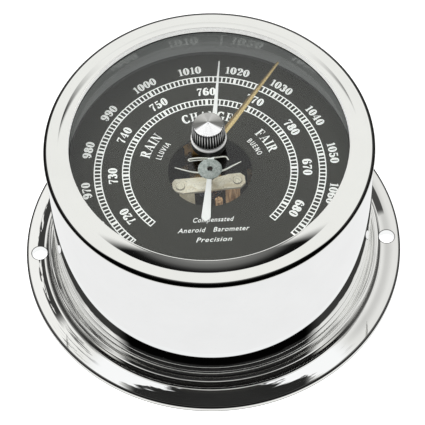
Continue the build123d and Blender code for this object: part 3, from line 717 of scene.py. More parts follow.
def spline(points, steps):
    """Catmull-Rom curve through the points."""
    p = [Vector(point) for point in points]
    p = [p[0] * 2 - p[1]] + p + [p[-1] * 2 - p[-2]]
    curve = []
    for i in range(1, len(p) - 2):
        before, start, end, after = p[i - 1:i + 3]
        for k in range(steps):
            t = k / steps
            curve.append(tuple(0.5 * (
                (2 * start) + (end - before) * t
                + (2 * before - 5 * start + 4 * end - after) * t * t
                + (3 * start - before - 3 * end + after) * t ** 3)))
    curve.append(tuple(p[-2]))
    return curve


# =====================================================================
# case: turned and polished pieces
# =====================================================================
# (r, z) section of the flange, from the inner edge of its foot outwards and over the top
FLANGE_PROFILE = [
    (48.1, 0), (59.3, 0),
    *arc_through((59.3, 0), (59.8, 0.2), (60.0, 0.7), 6)[1:],
    (60.0, 2.05),
    *arc_through((60.0, 2.05), (59.84, 2.44), (59.45, 2.6), 10)[1:],
    (59.35, 2.6), (54.0, 2.6),
    *arc_through((53.9, 2.6), (53.25, 2.83), (52.97, 3.45), 10),
    (52.969, 3.55), (52.951, 5.75),
    *arc_through((52.95, 5.85), (52.7, 6.04), (52.4, 6.1), 6),
    (52.3, 6.1), (51.45, 6.1),
    *arc_through((51.4, 6.1), (51.3, 6.06), (51.25, 5.98), 3),
    (51.07, 5.72), (51.0, 5.68), (50.78, 5.68), (50.7, 5.74), (50.58, 5.9), (50.52, 5.95),
    (DRUM_RADIUS, 5.95), (DRUM_RADIUS, DRUM_FOOT), (44.0, DRUM_FOOT), (44.0, 2.2), (48.1, 2.2),
]


def cut_holes(flange):
    """Cuts the two screw holes, left and right, and bakes the result."""
    cutters = []
    for k, side in enumerate((-1, 1)):
        mesh = bpy.data.meshes.new(f"cut{k}")
        bm = bmesh.new()
        bmesh.ops.create_cone(
            bm, cap_ends=True, segments=64, radius1=HOLE_RADIUS * MM, radius2=HOLE_RADIUS * MM,
            depth=14 * MM, matrix=Matrix.Translation((side * HOLE_OFFSET * MM, 0, 3 * MM)))
        bm.to_mesh(mesh)
        bm.free()
        cutter = bpy.data.objects.new(f"cut{k}", mesh)
        scene.collection.objects.link(cutter)
        cutters.append(cutter)
        hole = flange.modifiers.new("hole", "BOOLEAN")
        hole.operation = "DIFFERENCE"
        hole.solver = "EXACT"
        hole.object = cutter
    bpy.context.view_layer.update()
    depsgraph = bpy.context.evaluated_depsgraph_get()
    cut_mesh = bpy.data.meshes.new_from_object(flange.evaluated_get(depsgraph))
    flange.modifiers.clear()
    flange.data = cut_mesh
    for cutter in cutters:
        bpy.data.objects.remove(cutter)


def place_on_segment(profile, i, r, z):
    """How far along segment i, from 0 to 1, the point nearest to (r, z) lies."""
    p, q = profile[i], profile[(i + 1) % len(profile)]
    dr, dz = q[0] - p[0], q[1] - p[1]
    return max(0, min(1, ((r - p[0]) * dr + (z - p[1]) * dz) / (dr * dr + dz * dz)))


def nearest_segment(profile, r, z):
    nearest, least = 0, math.inf
    for i, p in enumerate(profile):
        q = profile[(i + 1) % len(profile)]
        t = place_on_segment(profile, i, r, z)
        gap = (p[0] + t * (q[0] - p[0]) - r) ** 2 + (p[1] + t * (q[1] - p[1]) - z) ** 2
        if gap < least - 1e-12:
            nearest, least = i, gap
    return nearest


def set_turned_normals(mesh, profile):
    """Gives a cut lathe piece the normals of its section, so the cuts don't disturb shading."""
    count = len(profile)
    flat = []
    for i, p in enumerate(profile):
        q = profile[(i + 1) % count]
        flat.append(Vector((q[1] - p[1], -(q[0] - p[0]))).normalized())
    # shared normal at each profile point, or None where the corner is sharp
    shared = []
    for i in range(count):
        before, after = flat[i - 1], flat[i]
        soft = before.dot(after) > math.cos(math.radians(35))
        shared.append((before + after).normalized() if soft else None)

    normals = []
    for poly in mesh.polygons:
        center = poly.center / MM
        in_hole = (math.hypot(abs(center.x) - HOLE_OFFSET, center.y) < HOLE_RADIUS + 0.0001
                   and abs(poly.normal.z) < 0.2)
        i = nearest_segment(profile, math.hypot(center.x, center.y), center.z)
        start = shared[i] if shared[i] is not None else flat[i]
        j = (i + 1) % count
        end = shared[j] if shared[j] is not None else flat[i]
        for loop in poly.loop_indices:
            co = mesh.vertices[mesh.loops[loop].vertex_index].co / MM
            from_hole = math.hypot(abs(co.x) - HOLE_OFFSET, co.y)
            if in_hole and abs(from_hole - HOLE_RADIUS) < 0.01:
                hole_x = math.copysign(HOLE_OFFSET, co.x)
                normals.append((-(co.x - hole_x) / HOLE_RADIUS, -co.y / HOLE_RADIUS, 0))
                continue
            r = math.hypot(co.x, co.y)
            t = place_on_segment(profile, i, r, co.z)
            out, up = (start * (1 - t) + end * t).normalized()
            normals.append((out * co.x / r, out * co.y / r, up))
    mesh.shade_smooth()
    mesh.normals_split_custom_set(normals)


flange = lathe("flange_turned", FLANGE_PROFILE, chrome_flange,
               ["mounting_flange"], segments=360)
cut_holes(flange)
set_turned_normals(flange.data, FLANGE_PROFILE)

lathe("drum_shell", rounded([(DRUM_RADIUS, DRUM_FOOT, 0.1), (DRUM_RADIUS, 57.6, 0.2),
                             (DRUM_BORE, 57.6, 0.2), (DRUM_BORE, DRUM_FOOT, 0.1)]),
      chrome_drum, ["case_drum"], segments=360)

# (r, z) section of the bezel, from under its lip over the top and down to the drum
BEZEL_PROFILE = [
    (42.9, LIP_BACK), (42.9, 61.25),
    *arc_through((42.9, 61.3), (42.94, 61.41), (43.05, 61.45), 4),
    (43.08, 61.447), (43.23, 61.402),
    *arc_through((43.25, 61.39), (44.88, 60.67), (46.4, 59.8), 16),
    (46.43, 59.79), (46.5, 59.794), (49.05, 59.653),
    *arc_through((49.1, 59.65), (50.27, 59.17), (50.75, 58.0), 20),
    (50.75, 57.9), (50.72, 57.82), (50.5, 57.65), (48.4, 57.65), (48.4, 55.3), (47.3, 55.3),
    (47.3, LIP_BACK),
]
lathe("bezel_turned", BEZEL_PROFILE, chrome_bezel, ["bezel"], segments=360)

lathe("glass_gasket_ring",
      rounded([(GLASS_RADIUS, GLASS_FRONT, 0.1), (GLASS_RADIUS, LIP_BACK, 0.1),
               (42.8, LIP_BACK, 0.2), (42.8, GLASS_FRONT, 0.1)]),
      rubber, ["glass_gasket"])
lathe("glass_pane",
      rounded([(BUSH_NECK, GLASS_BACK, 0.05), (BUSH_NECK, GLASS_FRONT, 0.05),
               (GLASS_RADIUS, GLASS_FRONT, 0.15), (GLASS_RADIUS, GLASS_BACK, 0.15)]),
      glass, ["glass"])
lathe("retaining_ring",
      rounded([(44.8, WALL_TOP, 0.1), (47.2, WALL_TOP, 0.1), (47.2, GLASS_BACK, 0.1),
               (44.8, GLASS_BACK, 0.1)]),
      ring_satin, ["glass_retaining_ring"])
lathe("dial_wall_ring",
      rounded([(WALL_BORE, DIAL_FACE, 0.08), (DIAL_RADIUS, DIAL_FACE, 0.05),
               (DIAL_RADIUS, 46.6, 0.1), (WALL_RADIUS, 46.6, 0.1), (WALL_RADIUS, WALL_TOP, 0.1),
               (WALL_BORE, WALL_TOP, 0.1)]),
      wall_satin, ["dial_spacer_ring"], segments=360)
lathe("dial_face",
      rounded([(13.0, DIAL_BACK, 0.08), (DIAL_RADIUS, DIAL_BACK, 0.05),
               (DIAL_RADIUS, DIAL_FACE, 0.05), (13.0, DIAL_FACE, 0.12)]),
      dial_enamel, ["dial_plate"], segments=360)

# =====================================================================
# knob, washer and bush
# =====================================================================
FLUTES = 36
KNOB_BASE, KNOB_SHOULDER, KNOB_RADIUS = 63.55, 69.6, 4.85
CONE_RADIUS, CONE_FOOT, CONE_RISE = 4.2, KNOB_SHOULDER + 0.48, 1.40
KNOB_PROFILE = [
    (1.5, KNOB_BASE), (4.4, KNOB_BASE), (4.75, KNOB_BASE + 0.08), (5.05, KNOB_BASE + 0.35),
    (5.16, KNOB_BASE + 0.55), (5.18, KNOB_BASE + 0.8),
    (KNOB_RADIUS + 0.02, KNOB_SHOULDER - 0.7), (KNOB_RADIUS, KNOB_SHOULDER - 0.3),
    (4.80, KNOB_SHOULDER - 0.05), (4.72, KNOB_SHOULDER + 0.16), (4.62, KNOB_SHOULDER + 0.30),
    (4.52, KNOB_SHOULDER + 0.37), (4.42, KNOB_SHOULDER + 0.41),
    *((CONE_RADIUS * (1 - i / 10), CONE_FOOT + CONE_RISE * (i / 10)) for i in range(10)),
    (0.15, KNOB_SHOULDER + 1.87), (0.0, KNOB_SHOULDER + 1.885), (0.0, 67.6), (1.5, 67.6),
]
# share of the full groove depth at each knurled profile point, by its index
GROOVE_SHARE = {3: 0.3, 4: 0.7, 5: 1.1, 6: 1.0, 7: 0.95, 8: 0.8, 9: 0.55, 10: 0.3, 11: 0.12}
GROOVE_DEPTH = 0.46


def knurl(angle, index, radius):
    phase = (angle * FLUTES / (2 * math.pi)) % 1.0
    toward_groove = abs(phase - 0.5) * 2            # 1 in the groove, 0 on the crest
    slope = max(0.0, (toward_groove - 0.18) / 0.82)
    return radius - GROOVE_DEPTH * GROOVE_SHARE.get(index, 0) * slope ** 1.1


lathe("knob_turned", KNOB_PROFILE, knob_spun, ["set_knob"],
      body="set_assembly", segments=FLUTES * 16, reshape=knurl)
lathe("knob_base_washer",
      rounded([(SPINDLE_BORE, BUSH_TOP, 0.05), (5.5, BUSH_TOP, 0.22), (5.5, 63.45, 0.38),
               (SPINDLE_BORE, 63.45, 0.05)], steps=8),
      washer_bright, ["knob_washer"])
lathe("bush_collar",
      rounded([(SPINDLE_BORE, GLASS_BACK, 0.05), (BUSH_NECK, GLASS_BACK, 0.1),
               (BUSH_NECK, GLASS_FRONT), (4.0, GLASS_FRONT, 0.1), (4.0, 60.2, 0.1),
               (5.4, 60.2, 0.15), (5.4, BUSH_TOP, 0.15), (SPINDLE_BORE, BUSH_TOP, 0.05)],
              steps=6),
      collar_black, ["spindle_bush"])

# =====================================================================
# pressure hand
# =====================================================================
BLADE_BACK, BLADE_FACE = 45.6, 45.95
BLADE_TURN = -6.4                       # degrees from twelve o'clock, negative is clockwise
# (r, height above the blade) section of the hub disc
HUB_PROFILE = [
    (1.0, 0.17), (1.01, 0.40), (1.2, 0.445), (1.6, 0.46), (2.6, 0.45), (3.3, 0.41), (3.55, 0.35),
    (3.7, 0.24), (3.75, 0.13), (3.73, 0.05), (3.6, 0.0), (2.2, 0.0), (1.0, 0.0),
]
RECESS_PROFILE = [(0.0, 0.21), (0.35, 0.25), (0.7, 0.19), (0.86, 0.15), (0.86, 0.02), (0.0, 0.02)]
# (distance from the axis, half width) of the blade from tip to tail; the tail is negative
BLADE_STATIONS = [
    (41.6, 0.0), (41.35, 0.17), (41.0, 0.22), (37.0, 0.28), (32.0, 0.40), (26.0, 0.58),
    (19.0, 0.80), (12.0, 0.90), (3.0, 0.96), (-2.6, 0.72), (-6.0, 0.82), (-11.0, 1.10),
    (-16.4, 1.38), (-17.5, 1.42), (-18.1, 1.30), (-18.7, 0.70), (-18.98, 0.36), (-19.1, 0.0),
]


def hub_recess_edge(angle, index, radius):
    """Turns the innermost rings into a slightly ragged hexagon."""
    if radius > 1.35:
        return radius
    sixth = math.pi / 3
    hexagon = 1.02 * math.cos(sixth / 2) / math.cos((angle % sixth) - sixth / 2)
    return hexagon * (1 + 0.10 * math.sin(5 * angle + 1) + 0.05 * math.sin(9 * angle))


def build_blade():
    """Solid blade with a rounded top edge."""
    right = BLADE_STATIONS
    left = [(d, -w) for d, w in BLADE_STATIONS[1:-1]]
    turn_cos, turn_sin = cosd(BLADE_TURN), sind(BLADE_TURN)
    outline = [(w * turn_cos - d * turn_sin, w * turn_sin + d * turn_cos)
               for d, w in right + left[::-1]]
    bm = bmesh.new()
    face = bm.faces.new([bm.verts.new((x * MM, y * MM, BLADE_BACK * MM))
                         for x, y in outline[::-1]])
    extruded = bmesh.ops.extrude_face_region(bm, geom=[face])
    for item in extruded["geom"]:
        if isinstance(item, bmesh.types.BMVert):
            item.co.z = BLADE_FACE * MM
    bmesh.ops.recalc_face_normals(bm, faces=bm.faces)
    top = [e for e in bm.edges if all(abs(v.co.z - BLADE_FACE * MM) < 1e-7 for v in e.verts)]
    bmesh.ops.bevel(bm, geom=top, offset=0.09 * MM, segments=3, profile=0.6, affect="EDGES",
                    clamp_overlap=True)
    bm.normal_update()
    smooth_below(bm, 40)
    mesh = bpy.data.meshes.new("pointer_blade")
    bm.to_mesh(mesh)
    bm.free()
    add_object("pointer_blade", mesh, hand_white, "pressure_hand", ["pointer"])


def build_counterpoise():
    """Two tapering arms, a loop, its lower bar, a stem and a collar, all below the dial."""
    left_arm = spline([(0.0, 1.0, 41.9), (-2.5, 1.55, 41.85), (-5.5, 2.05, 41.8),
                       (-8.5, 3.1, 41.78), (-10.9, 4.05, 41.76)], 8)
    right_arm = spline([(0.0, 1.0, 41.9), (2.4, 1.6, 41.85), (4.8, 2.4, 41.85),
                        (7.5, 3.9, 41.8), (9.8, 5.15, 41.76)], 8)
    loop = spline([(-6.2, 6.2, 41.7), (-6.55, 6.65, 41.75), (-6.0, 7.02, 41.8),
                   (-3.0, 7.15, 41.85), (-0.4, 6.95, 41.85), (2.0, 7.05, 41.85),
                   (4.6, 7.25, 41.85), (5.35, 7.0, 41.8), (5.7, 6.35, 41.75),
                   (5.95, 6.1, 41.7)], 7)
    lower_bar = spline([(-6.2, 6.2, 41.7), (-3.5, 6.4, 41.75), (-0.45, 6.35, 41.8)], 6)
    stem = [(-0.1, 0.9, 41.82), (-0.1, 3.5, 41.82), (-0.1, 6.95, 41.83)]
    count = len(left_arm)
    left_radii = [0.30 + (0.17 - 0.30) * i / (count - 1) for i in range(count)]
    right_radii = [0.46 - 0.27 * min(1, i / (len(right_arm) * 0.9))
                   for i in range(len(right_arm))]
    tube("counterpoise_left", left_arm, left_radii, wire, ["counterpoise"], flat=0.8)
    tube("counterpoise_right", right_arm, right_radii, wire, flat=0.6)
    tube("counterpoise_loop", loop, 0.22, wire)
    tube("counterpoise_loop_lower", lower_bar, 0.15, wire)
    tube("counterpoise_stem", stem, 0.15, wire)
    lathe("counterpoise_collar",
          rounded([(0.6, 41.6, 0.05), (1.4, 41.6, 0.1), (1.4, 42.05, 0.12), (0.6, 42.05, 0.05)]),
          steel, body="pressure_hand", segments=64)


lathe("hub_disc", [(r, BLADE_FACE + h) for r, h in HUB_PROFILE], hub_zinc,
      ["pointer_hub"], body="pressure_hand", segments=144, reshape=hub_recess_edge)
lathe("hub_recess", [(r, BLADE_FACE + h) for r, h in RECESS_PROFILE], hub_dark,
      body="pressure_hand", segments=48)
build_blade()
build_counterpoise()


# =====================================================================
# movement
# =====================================================================
def build_hairspring():
    """Spiral ribbon of four turns."""
    steps, turns, end_angle = 420, 4.0, 295.0
    inner, growth = 1.5, 2.7
    half_width, bottom, top = 0.06, 35.22, 35.73
    section = ((-half_width, bottom), (half_width, bottom), (half_width, top), (-half_width, top))
    verts = []
    for i in range(steps + 1):
        t = i / steps
        radius = inner + growth * t
        angle = end_angle - 360 * turns * (1 - t)
        for offset, z in section:
            verts.append(((radius + offset) * cosd(angle), (radius + offset) * sind(angle), z))
    new_object("hairspring_coil", verts, grid_faces(steps + 1, 4), blued_steel, "case",
               ["hairspring"])


build_hairspring()

CAPSULE_SEAM = 16.2                     # height of the joint between the two shells
# (r, distance from the seam) of the corrugations, from the edge inwards
CORRUGATIONS = [
    (22.95, 0.35), (22.3, 0.75), (21.0, 2.6), (19.2, 3.3), (17.4, 2.6), (15.6, 3.4), (13.8, 2.7),
    (12.0, 3.5), (10.2, 2.8), (8.4, 3.6), (6.6, 3.9), (5.0, 4.4),
]


def build_capsule_shell(name, side, replaced, bore):
    """Corrugated shell; side is 1 above the seam and -1 below it."""
    curve = spline([(r, CAPSULE_SEAM + side * h, 0) for r, h in CORRUGATIONS], 6)
    outer = [(r, z) for r, z, _ in curve] + [(bore, CAPSULE_SEAM + side * 4.4)]
    inner = [(max(r - 0.1, bore), z - side * 0.3) for r, z in reversed(outer)]
    profile = [(22.98, CAPSULE_SEAM)] + outer + inner + [(21.8, CAPSULE_SEAM)]
    lathe(name, profile, capsule_bronze, [replaced], segments=160)


build_capsule_shell("capsule_top", 1, "capsule_upper_shell", bore=1.55)
build_capsule_shell("capsule_bottom", -1, "capsule_lower_shell", bore=2.05)

# materials of the CAD pieces that keep their shape
CAD_MATERIALS = {
    "dial_pillars": brass, "back_cover": zinc, "back_cover_screws": steel,
    "spring_washer": steel, "set_spindle": steel, "set_hand": hand_gilt,
    "pointer_arbor": steel, "pinion": brass, "hairspring_collet": brass,
    "hairspring_stud": pillar_bronze, "sector_gear": brass, "sector_arbor": steel,
    "sector_bridge": nickel, "sector_bridge_pillars": brass, "sector_bridge_screws": steel,
    "rocking_shaft": steel, "input_arm": brass, "output_arm": brass, "drive_pin": steel,
    "shaft_brackets": brass, "middle_plate": blackened, "frame_pillars": brass,
    "frame_screws": steel, "top_bridge": bridge_nickel, "bridge_screws": bridge_screw,
    "bridge_post": post_cream, "bridge_pillar": pillar_bronze, "capsule_stud": brass,
    "capsule_post": steel, "capsule_carrier": nickel, "carrier_screws": steel,
    "adjusting_screw": brass, "base_plate": blackened, "movement_screws": steel,
}
EDGE_WIDTH = 0.07
EDGE_WIDTHS = {"pinion": 0.02, "sector_gear": 0.03, "top_bridge": 0.12, "bridge_screws": 0.12}
for name, finish in CAD_MATERIALS.items():
    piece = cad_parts[name]
    piece.data.materials.clear()
    piece.data.materials.append(finish.material)
    edge = piece.modifiers.new("edge", "BEVEL")
    edge.width = EDGE_WIDTHS.get(name, EDGE_WIDTH) * MM
    edge.segments = 2
    edge.limit_method = "ANGLE"
    edge.angle_limit = math.radians(40)
    edge.harden_normals = True

# =====================================================================
# dial print: letter shapes, with a cap height of 1
# =====================================================================
THICK, THIN = 0.275, 0.12               # strokes of the serifed letters
PLAIN = (0.14, 0.13)                    # thick and thin strokes of the plain letters


def curve(cx, cy, rx, ry, start, end, thick=THICK, thin=THIN, power=1.4):
    """Elliptical stroke between two angles, thick where it runs upright."""
    steps = 28
    outer, inner = [], []
    for k in range(steps + 1):
        angle = start + (end - start) * k / steps
        half = (thin + (thick - thin) * abs(cosd(angle)) ** power) / 2
        outer.append((cx + (rx + half) * cosd(angle), cy + (ry + half) * sind(angle)))
        inner.append((cx + (rx - half) * cosd(angle), cy + (ry - half) * sind(angle)))
    return outer + inner[::-1]


def slant(x0, y0, x1, y1, width, end_width=None):
    end_width = width if end_width is None else end_width
    dx, dy = x1 - x0, y1 - y0
    length = math.hypot(dx, dy)
    nx, ny = -dy / length, dx / length
    w, e = width / 2, end_width / 2
    return [(x0 + nx * w, y0 + ny * w), (x0 - nx * w, y0 - ny * w),
            (x1 - nx * e, y1 - ny * e), (x1 + nx * e, y1 + ny * e)]


def box(x0, y0, x1, y1):
    return [(x0, y0), (x1, y0), (x1, y1), (x0, y1)]


def ball(cx, cy, radius):
    return [(cx + radius * cosd(360 * k / 14), cy + radius * sind(360 * k / 14))
            for k in range(14)]


def oval(cx, cy, rx, ry, *strokes):
    """Closed ring in two overlapping halves."""
    return [curve(cx, cy, rx, ry, -92, 92, *strokes), curve(cx, cy, rx, ry, 88, 272, *strokes)]


STEM = box(0.115, 0, 0.305, 1)
PLAIN_STEM = box(0.06, 0, 0.20, 1)
MIDDLE_ARM = [box(0.25, 0.475, 0.50, 0.53), box(0.47, 0.36, 0.52, 0.65)]

# character: (width, overlapping polygons); lower-case keys hold plain upright capitals
GLYPHS = {
    "0": (0.66, oval(0.33, 0.5, 0.20, 0.465)),
    "1": (0.50, [box(0.19, 0.02, 0.38, 0.98),
                 [(0.06, 0.80), (0.06, 0.85), (0.30, 1.0), (0.30, 0.88)],
                 box(0.07, 0, 0.49, 0.06)]),
    "2": (0.64, [curve(0.31, 0.71, 0.19, 0.26, 170, -38),
                 slant(0.42, 0.56, 0.12, 0.10, 0.15, 0.07),
                 [(0.07, 0.0), (0.55, 0.0), (0.60, 0.26), (0.54, 0.26), (0.48, 0.15),
                  (0.10, 0.15)],
                 ball(0.17, 0.72, 0.095)]),
    "3": (0.62, [curve(0.28, 0.745, 0.165, 0.225, 150, -92),
                 curve(0.28, 0.27, 0.20, 0.24, 92, -150),
                 ball(0.14, 0.79, 0.085), ball(0.13, 0.20, 0.095),
                 box(0.22, 0.49, 0.32, 0.545)]),
    "4": (0.68, [slant(0.42, 0.98, 0.07, 0.30, 0.07), box(0.03, 0.25, 0.64, 0.325),
                 box(0.36, 0.02, 0.54, 1.0), box(0.26, 0, 0.63, 0.06)]),
    "5": (0.64, [box(0.12, 0.50, 0.18, 0.97),
                 [(0.12, 1.0), (0.12, 0.84), (0.48, 0.84), (0.53, 1.0)],
                 curve(0.29, 0.30, 0.205, 0.28, 130, -150), ball(0.14, 0.20, 0.09)]),
    "6": (0.66, oval(0.34, 0.29, 0.195, 0.265)
          + [curve(0.40, 0.50, 0.265, 0.475, 75, 205), ball(0.50, 0.81, 0.085)]),
    "7": (0.60, [[(0.07, 0.98), (0.05, 0.70), (0.11, 0.70), (0.16, 0.83), (0.57, 0.83),
                  (0.57, 0.98)],
                 [(0.50, 0.86), (0.57, 0.90), (0.40, 0.45), (0.36, 0.0), (0.16, 0.0),
                  (0.22, 0.42)],
                 ball(0.26, 0.05, 0.10)]),
    "8": (0.66, oval(0.33, 0.745, 0.155, 0.225) + oval(0.33, 0.27, 0.195, 0.245)),
    "9": (0.66, oval(0.32, 0.71, 0.195, 0.265)
          + [curve(0.26, 0.50, 0.265, 0.475, -105, 25), ball(0.16, 0.19, 0.085)]),
    "I": (0.42, [STEM, box(0.01, 0, 0.41, 0.055), box(0.01, 0.945, 0.41, 1)]),
    "H": (0.90, [STEM, box(0.595, 0, 0.785, 1), box(0.2, 0.475, 0.7, 0.53)]
          + [box(x, y, x + 0.40, y + 0.055) for x in (0.01, 0.49) for y in (0, 0.945)]),
    "N": (0.88, [box(0.125, 0, 0.185, 0.98),
                 [(0.04, 1.0), (0.27, 1.0), (0.76, 0.0), (0.70, -0.02), (0.60, 0.0)],
                 box(0.70, 0.0, 0.76, 0.98), box(0.01, 0, 0.30, 0.055),
                 box(0.0, 0.945, 0.24, 1), box(0.58, 0.945, 0.88, 1)]),
    "R": (0.86, [STEM, box(0.01, 0, 0.41, 0.055), box(0.01, 0.945, 0.40, 1),
                 box(0.28, 0.945, 0.42, 1), box(0.28, 0.47, 0.44, 0.525),
                 curve(0.40, 0.735, 0.205, 0.237, -92, 92),
                 [(0.34, 0.50), (0.53, 0.50), (0.80, 0.0), (0.60, 0.0)],
                 box(0.62, 0, 0.87, 0.055)]),
    "A": (0.88, [[(0.41, 1.0), (0.47, 1.0), (0.17, 0.0), (0.105, 0.0)],
                 [(0.38, 1.0), (0.52, 1.0), (0.83, 0.0), (0.61, 0.0)],
                 box(0.22, 0.29, 0.66, 0.345), box(0.0, 0, 0.29, 0.055),
                 box(0.52, 0, 0.90, 0.055)]),
    "C": (0.84, [curve(0.44, 0.5, 0.325, 0.475, 42, 318, power=1.3),
                 box(0.70, 0.64, 0.755, 1.0), box(0.70, 0.0, 0.745, 0.25)]),
    "G": (0.92, [curve(0.44, 0.5, 0.325, 0.475, 42, 300, power=1.3),
                 box(0.70, 0.64, 0.755, 1.0), box(0.64, 0.03, 0.81, 0.42),
                 box(0.52, 0.37, 0.90, 0.425), box(0.52, 0.0, 0.70, 0.055)]),
    "E": (0.78, [STEM, box(0.01, 0, 0.68, 0.055), box(0.01, 0.945, 0.66, 1), *MIDDLE_ARM,
                 [(0.60, 0.0), (0.68, 0.0), (0.71, 0.30), (0.66, 0.30)],
                 [(0.60, 1.0), (0.66, 1.0), (0.68, 0.72), (0.63, 0.72)]]),
    "F": (0.74, [STEM, box(0.01, 0, 0.42, 0.055), box(0.01, 0.945, 0.66, 1), *MIDDLE_ARM,
                 [(0.60, 1.0), (0.66, 1.0), (0.68, 0.70), (0.63, 0.70)]]),
    "l": (0.50, [PLAIN_STEM, box(0.06, 0, 0.48, 0.13)]),
    "u": (0.68, [box(0.06, 0.25, 0.20, 1), box(0.48, 0.25, 0.62, 1),
                 curve(0.34, 0.27, 0.21, 0.205, 180, 360, *PLAIN)]),
    "v": (0.68, [[(0.0, 1.0), (0.15, 1.0), (0.41, 0.0), (0.27, 0.0)],
                 [(0.53, 1.0), (0.68, 1.0), (0.41, 0.0), (0.27, 0.0)]]),
    "i": (0.26, [PLAIN_STEM]),
    "a": (0.70, [[(0.28, 1.0), (0.42, 1.0), (0.15, 0.0), (0.0, 0.0)],
                 [(0.28, 1.0), (0.42, 1.0), (0.70, 0.0), (0.55, 0.0)],
                 box(0.14, 0.26, 0.56, 0.38)]),
    "b": (0.64, [PLAIN_STEM, box(0.1, 0.87, 0.36, 1.0), box(0.1, 0.45, 0.40, 0.57),
                 box(0.1, 0.0, 0.36, 0.13), curve(0.34, 0.725, 0.17, 0.21, -92, 92, *PLAIN),
                 curve(0.36, 0.285, 0.19, 0.22, -92, 92, *PLAIN)]),
    "e": (0.58, [PLAIN_STEM, box(0.06, 0.87, 0.54, 1), box(0.06, 0.44, 0.50, 0.57),
                 box(0.06, 0, 0.55, 0.13)]),
    "n": (0.70, [box(0.06, 0, 0.19, 1), box(0.51, 0, 0.64, 1),
                 [(0.06, 1.0), (0.21, 1.0), (0.64, 0.0), (0.49, 0.0)]]),
    "o": (0.76, oval(0.38, 0.5, 0.28, 0.435, *PLAIN)),
}


# =====================================================================
# dial print: scales and words
# =====================================================================
def signed_area(points):
    """Twice the enclosed area, positive when the points run counter-clockwise."""
    return sum(points[i - 1][0] * points[i][1] - points[i][0] * points[i - 1][1]
               for i in range(len(points)))


class Print:
    """Collects flat shapes and writes them as one closed, very thin raised mesh."""

    HEIGHT = 0.03

    def __init__(self):
        self.verts, self.faces = [], []

    def add(self, points, faces):
        """Faces must run counter-clockwise; their outer edges get walls."""
        base, count = len(self.verts), len(points)
        self.verts += [(x, y, DIAL_FACE + self.HEIGHT) for x, y in points]
        self.verts += [(x, y, DIAL_FACE) for x, y in points]
        edges = {}
        for face in faces:
            self.faces.append([base + i for i in face])
            self.faces.append([base + count + i for i in reversed(face)])
            for i, a in enumerate(face):
                edges[(a, face[(i + 1) % len(face)])] = True
        for a, b in edges:
            if (b, a) not in edges:
                self.faces.append([base + b, base + a, base + count + a, base + count + b])

    def union(self, polygons):
        """Adds the union of overlapping polygons."""
        verts, faces = [], []
        for polygon in polygons:
            ordered = polygon if signed_area(polygon) > 0 else polygon[::-1]
            faces.append(list(range(len(verts), len(verts) + len(ordered))))
            verts += [Vector(v) for v in ordered]
        points, _, tris, _, _, origins = delaunay_2d_cdt(verts, [], faces, 1, 1e-6)
        self.add([(p.x, p.y) for p in points], [t for t, origin in zip(tris, origins) if origin])

    def text(self, word, degrees, radius, height, width, space=0.06):
        """Word centred at an angle clockwise from twelve o'clock, with its tops outward."""
        advances = [(GLYPHS[c][0] * width + space) * height for c in word]
        x = -(sum(advances) - space * height) / 2
        for c, advance in zip(word, advances):
            glyph_width, polygons = GLYPHS[c]
            angle = degrees + math.degrees((x + glyph_width * width * height / 2) / radius)
            placed = []
            for polygon in polygons:
                local = [((px - glyph_width / 2) * width * height,
                          (py - 0.5) * height + radius) for px, py in polygon]
                placed.append([(lx * cosd(angle) + ly * sind(angle),
                                -lx * sind(angle) + ly * cosd(angle)) for lx, ly in local])
            self.union(placed)
            x += advance

    def build(self, name):
        new_object(name, self.verts, self.faces, print_white, "case",
                   smooth=False)


SCALE_END = 135.7                       # degrees from twelve o'clock to each end of the scales
DEGREES_PER_MMHG = 3.015
MMHG_PER_HPA = 0.750062
DEGREES_PER_HPA = DEGREES_PER_MMHG * MMHG_PER_HPA
TOP_MMHG = 760.0                        # readings at twelve o'clock
TOP_HPA = TOP_MMHG / MMHG_PER_HPA


def build_scale(name, outer, inner, per_unit, top, first, last, line, tick):
    """Two ring lines with a tick at each unit between them, every tenth one thick."""
    thick_tick, end_tick, steps = 0.85, 0.34, 260
    sheet = Print()
    for radius, other in ((outer, outer - line), (inner, inner + line)):
        points, faces = [], []
        for i in range(steps + 1):
            angle = -SCALE_END + 2 * SCALE_END * i / steps
            points += [(r * sind(angle), r * cosd(angle)) for r in (radius, other)]
        for i in range(steps):
            a, b, c, d = 2 * i, 2 * i + 2, 2 * i + 3, 2 * i + 1
            if other > radius:
                a, b, c, d = d, c, b, a
            faces += [[a, b, c], [a, c, d]]
        sheet.add(points, faces)

    def add_tick(angle, width):
        across_x, across_y = cosd(angle) * width / 2, -sind(angle) * width / 2
        corners = ((inner + line, -1), (inner + line, 1), (outer - line, 1), (outer - line, -1))
        sheet.add([(sind(angle) * r + side * across_x, cosd(angle) * r + side * across_y)
                   for r, side in corners], [[0, 1, 2], [0, 2, 3]])

    for value in range(first, last + 1):
        add_tick((value - top) * per_unit, thick_tick if value % 10 == 0 else tick)
    for side in (-1, 1):
        add_tick(side * (SCALE_END - 0.35), end_tick)
    sheet.build(name)


def build_numerals():
    sheet = Print()
    for value in range(960, 1071, 10):
        sheet.text(str(value), (value - TOP_HPA) * DEGREES_PER_HPA, radius=38.7, height=2.62,
                   width=1.14)
    sheet.build("numerals_hectopascal")
    sheet = Print()
    # the last two labels don't follow the count
    labels = ("720", "730", "740", "750", "760", "770", "780", "670", "680")
    for value, label in zip(range(720, 801, 10), labels):
        sheet.text(label, (value - 760) * DEGREES_PER_MMHG, radius=30.15, height=2.75,
                   width=1.08)
    sheet.build("numerals_millimetre")


def build_forecast():
    sheet = Print()
    for word, angle in (("RAIN", -60), ("CHANGE", 0), ("FAIR", 60)):
        sheet.text(word, angle, radius=20.97, height=3.05, width=0.92, space=0.10)
    for word, angle in (("lluvia", -60), ("bueno", 60)):
        sheet.text(word, angle, radius=16.65, height=1.75, width=0.95, space=0.16)
    sheet.build("forecast_words")


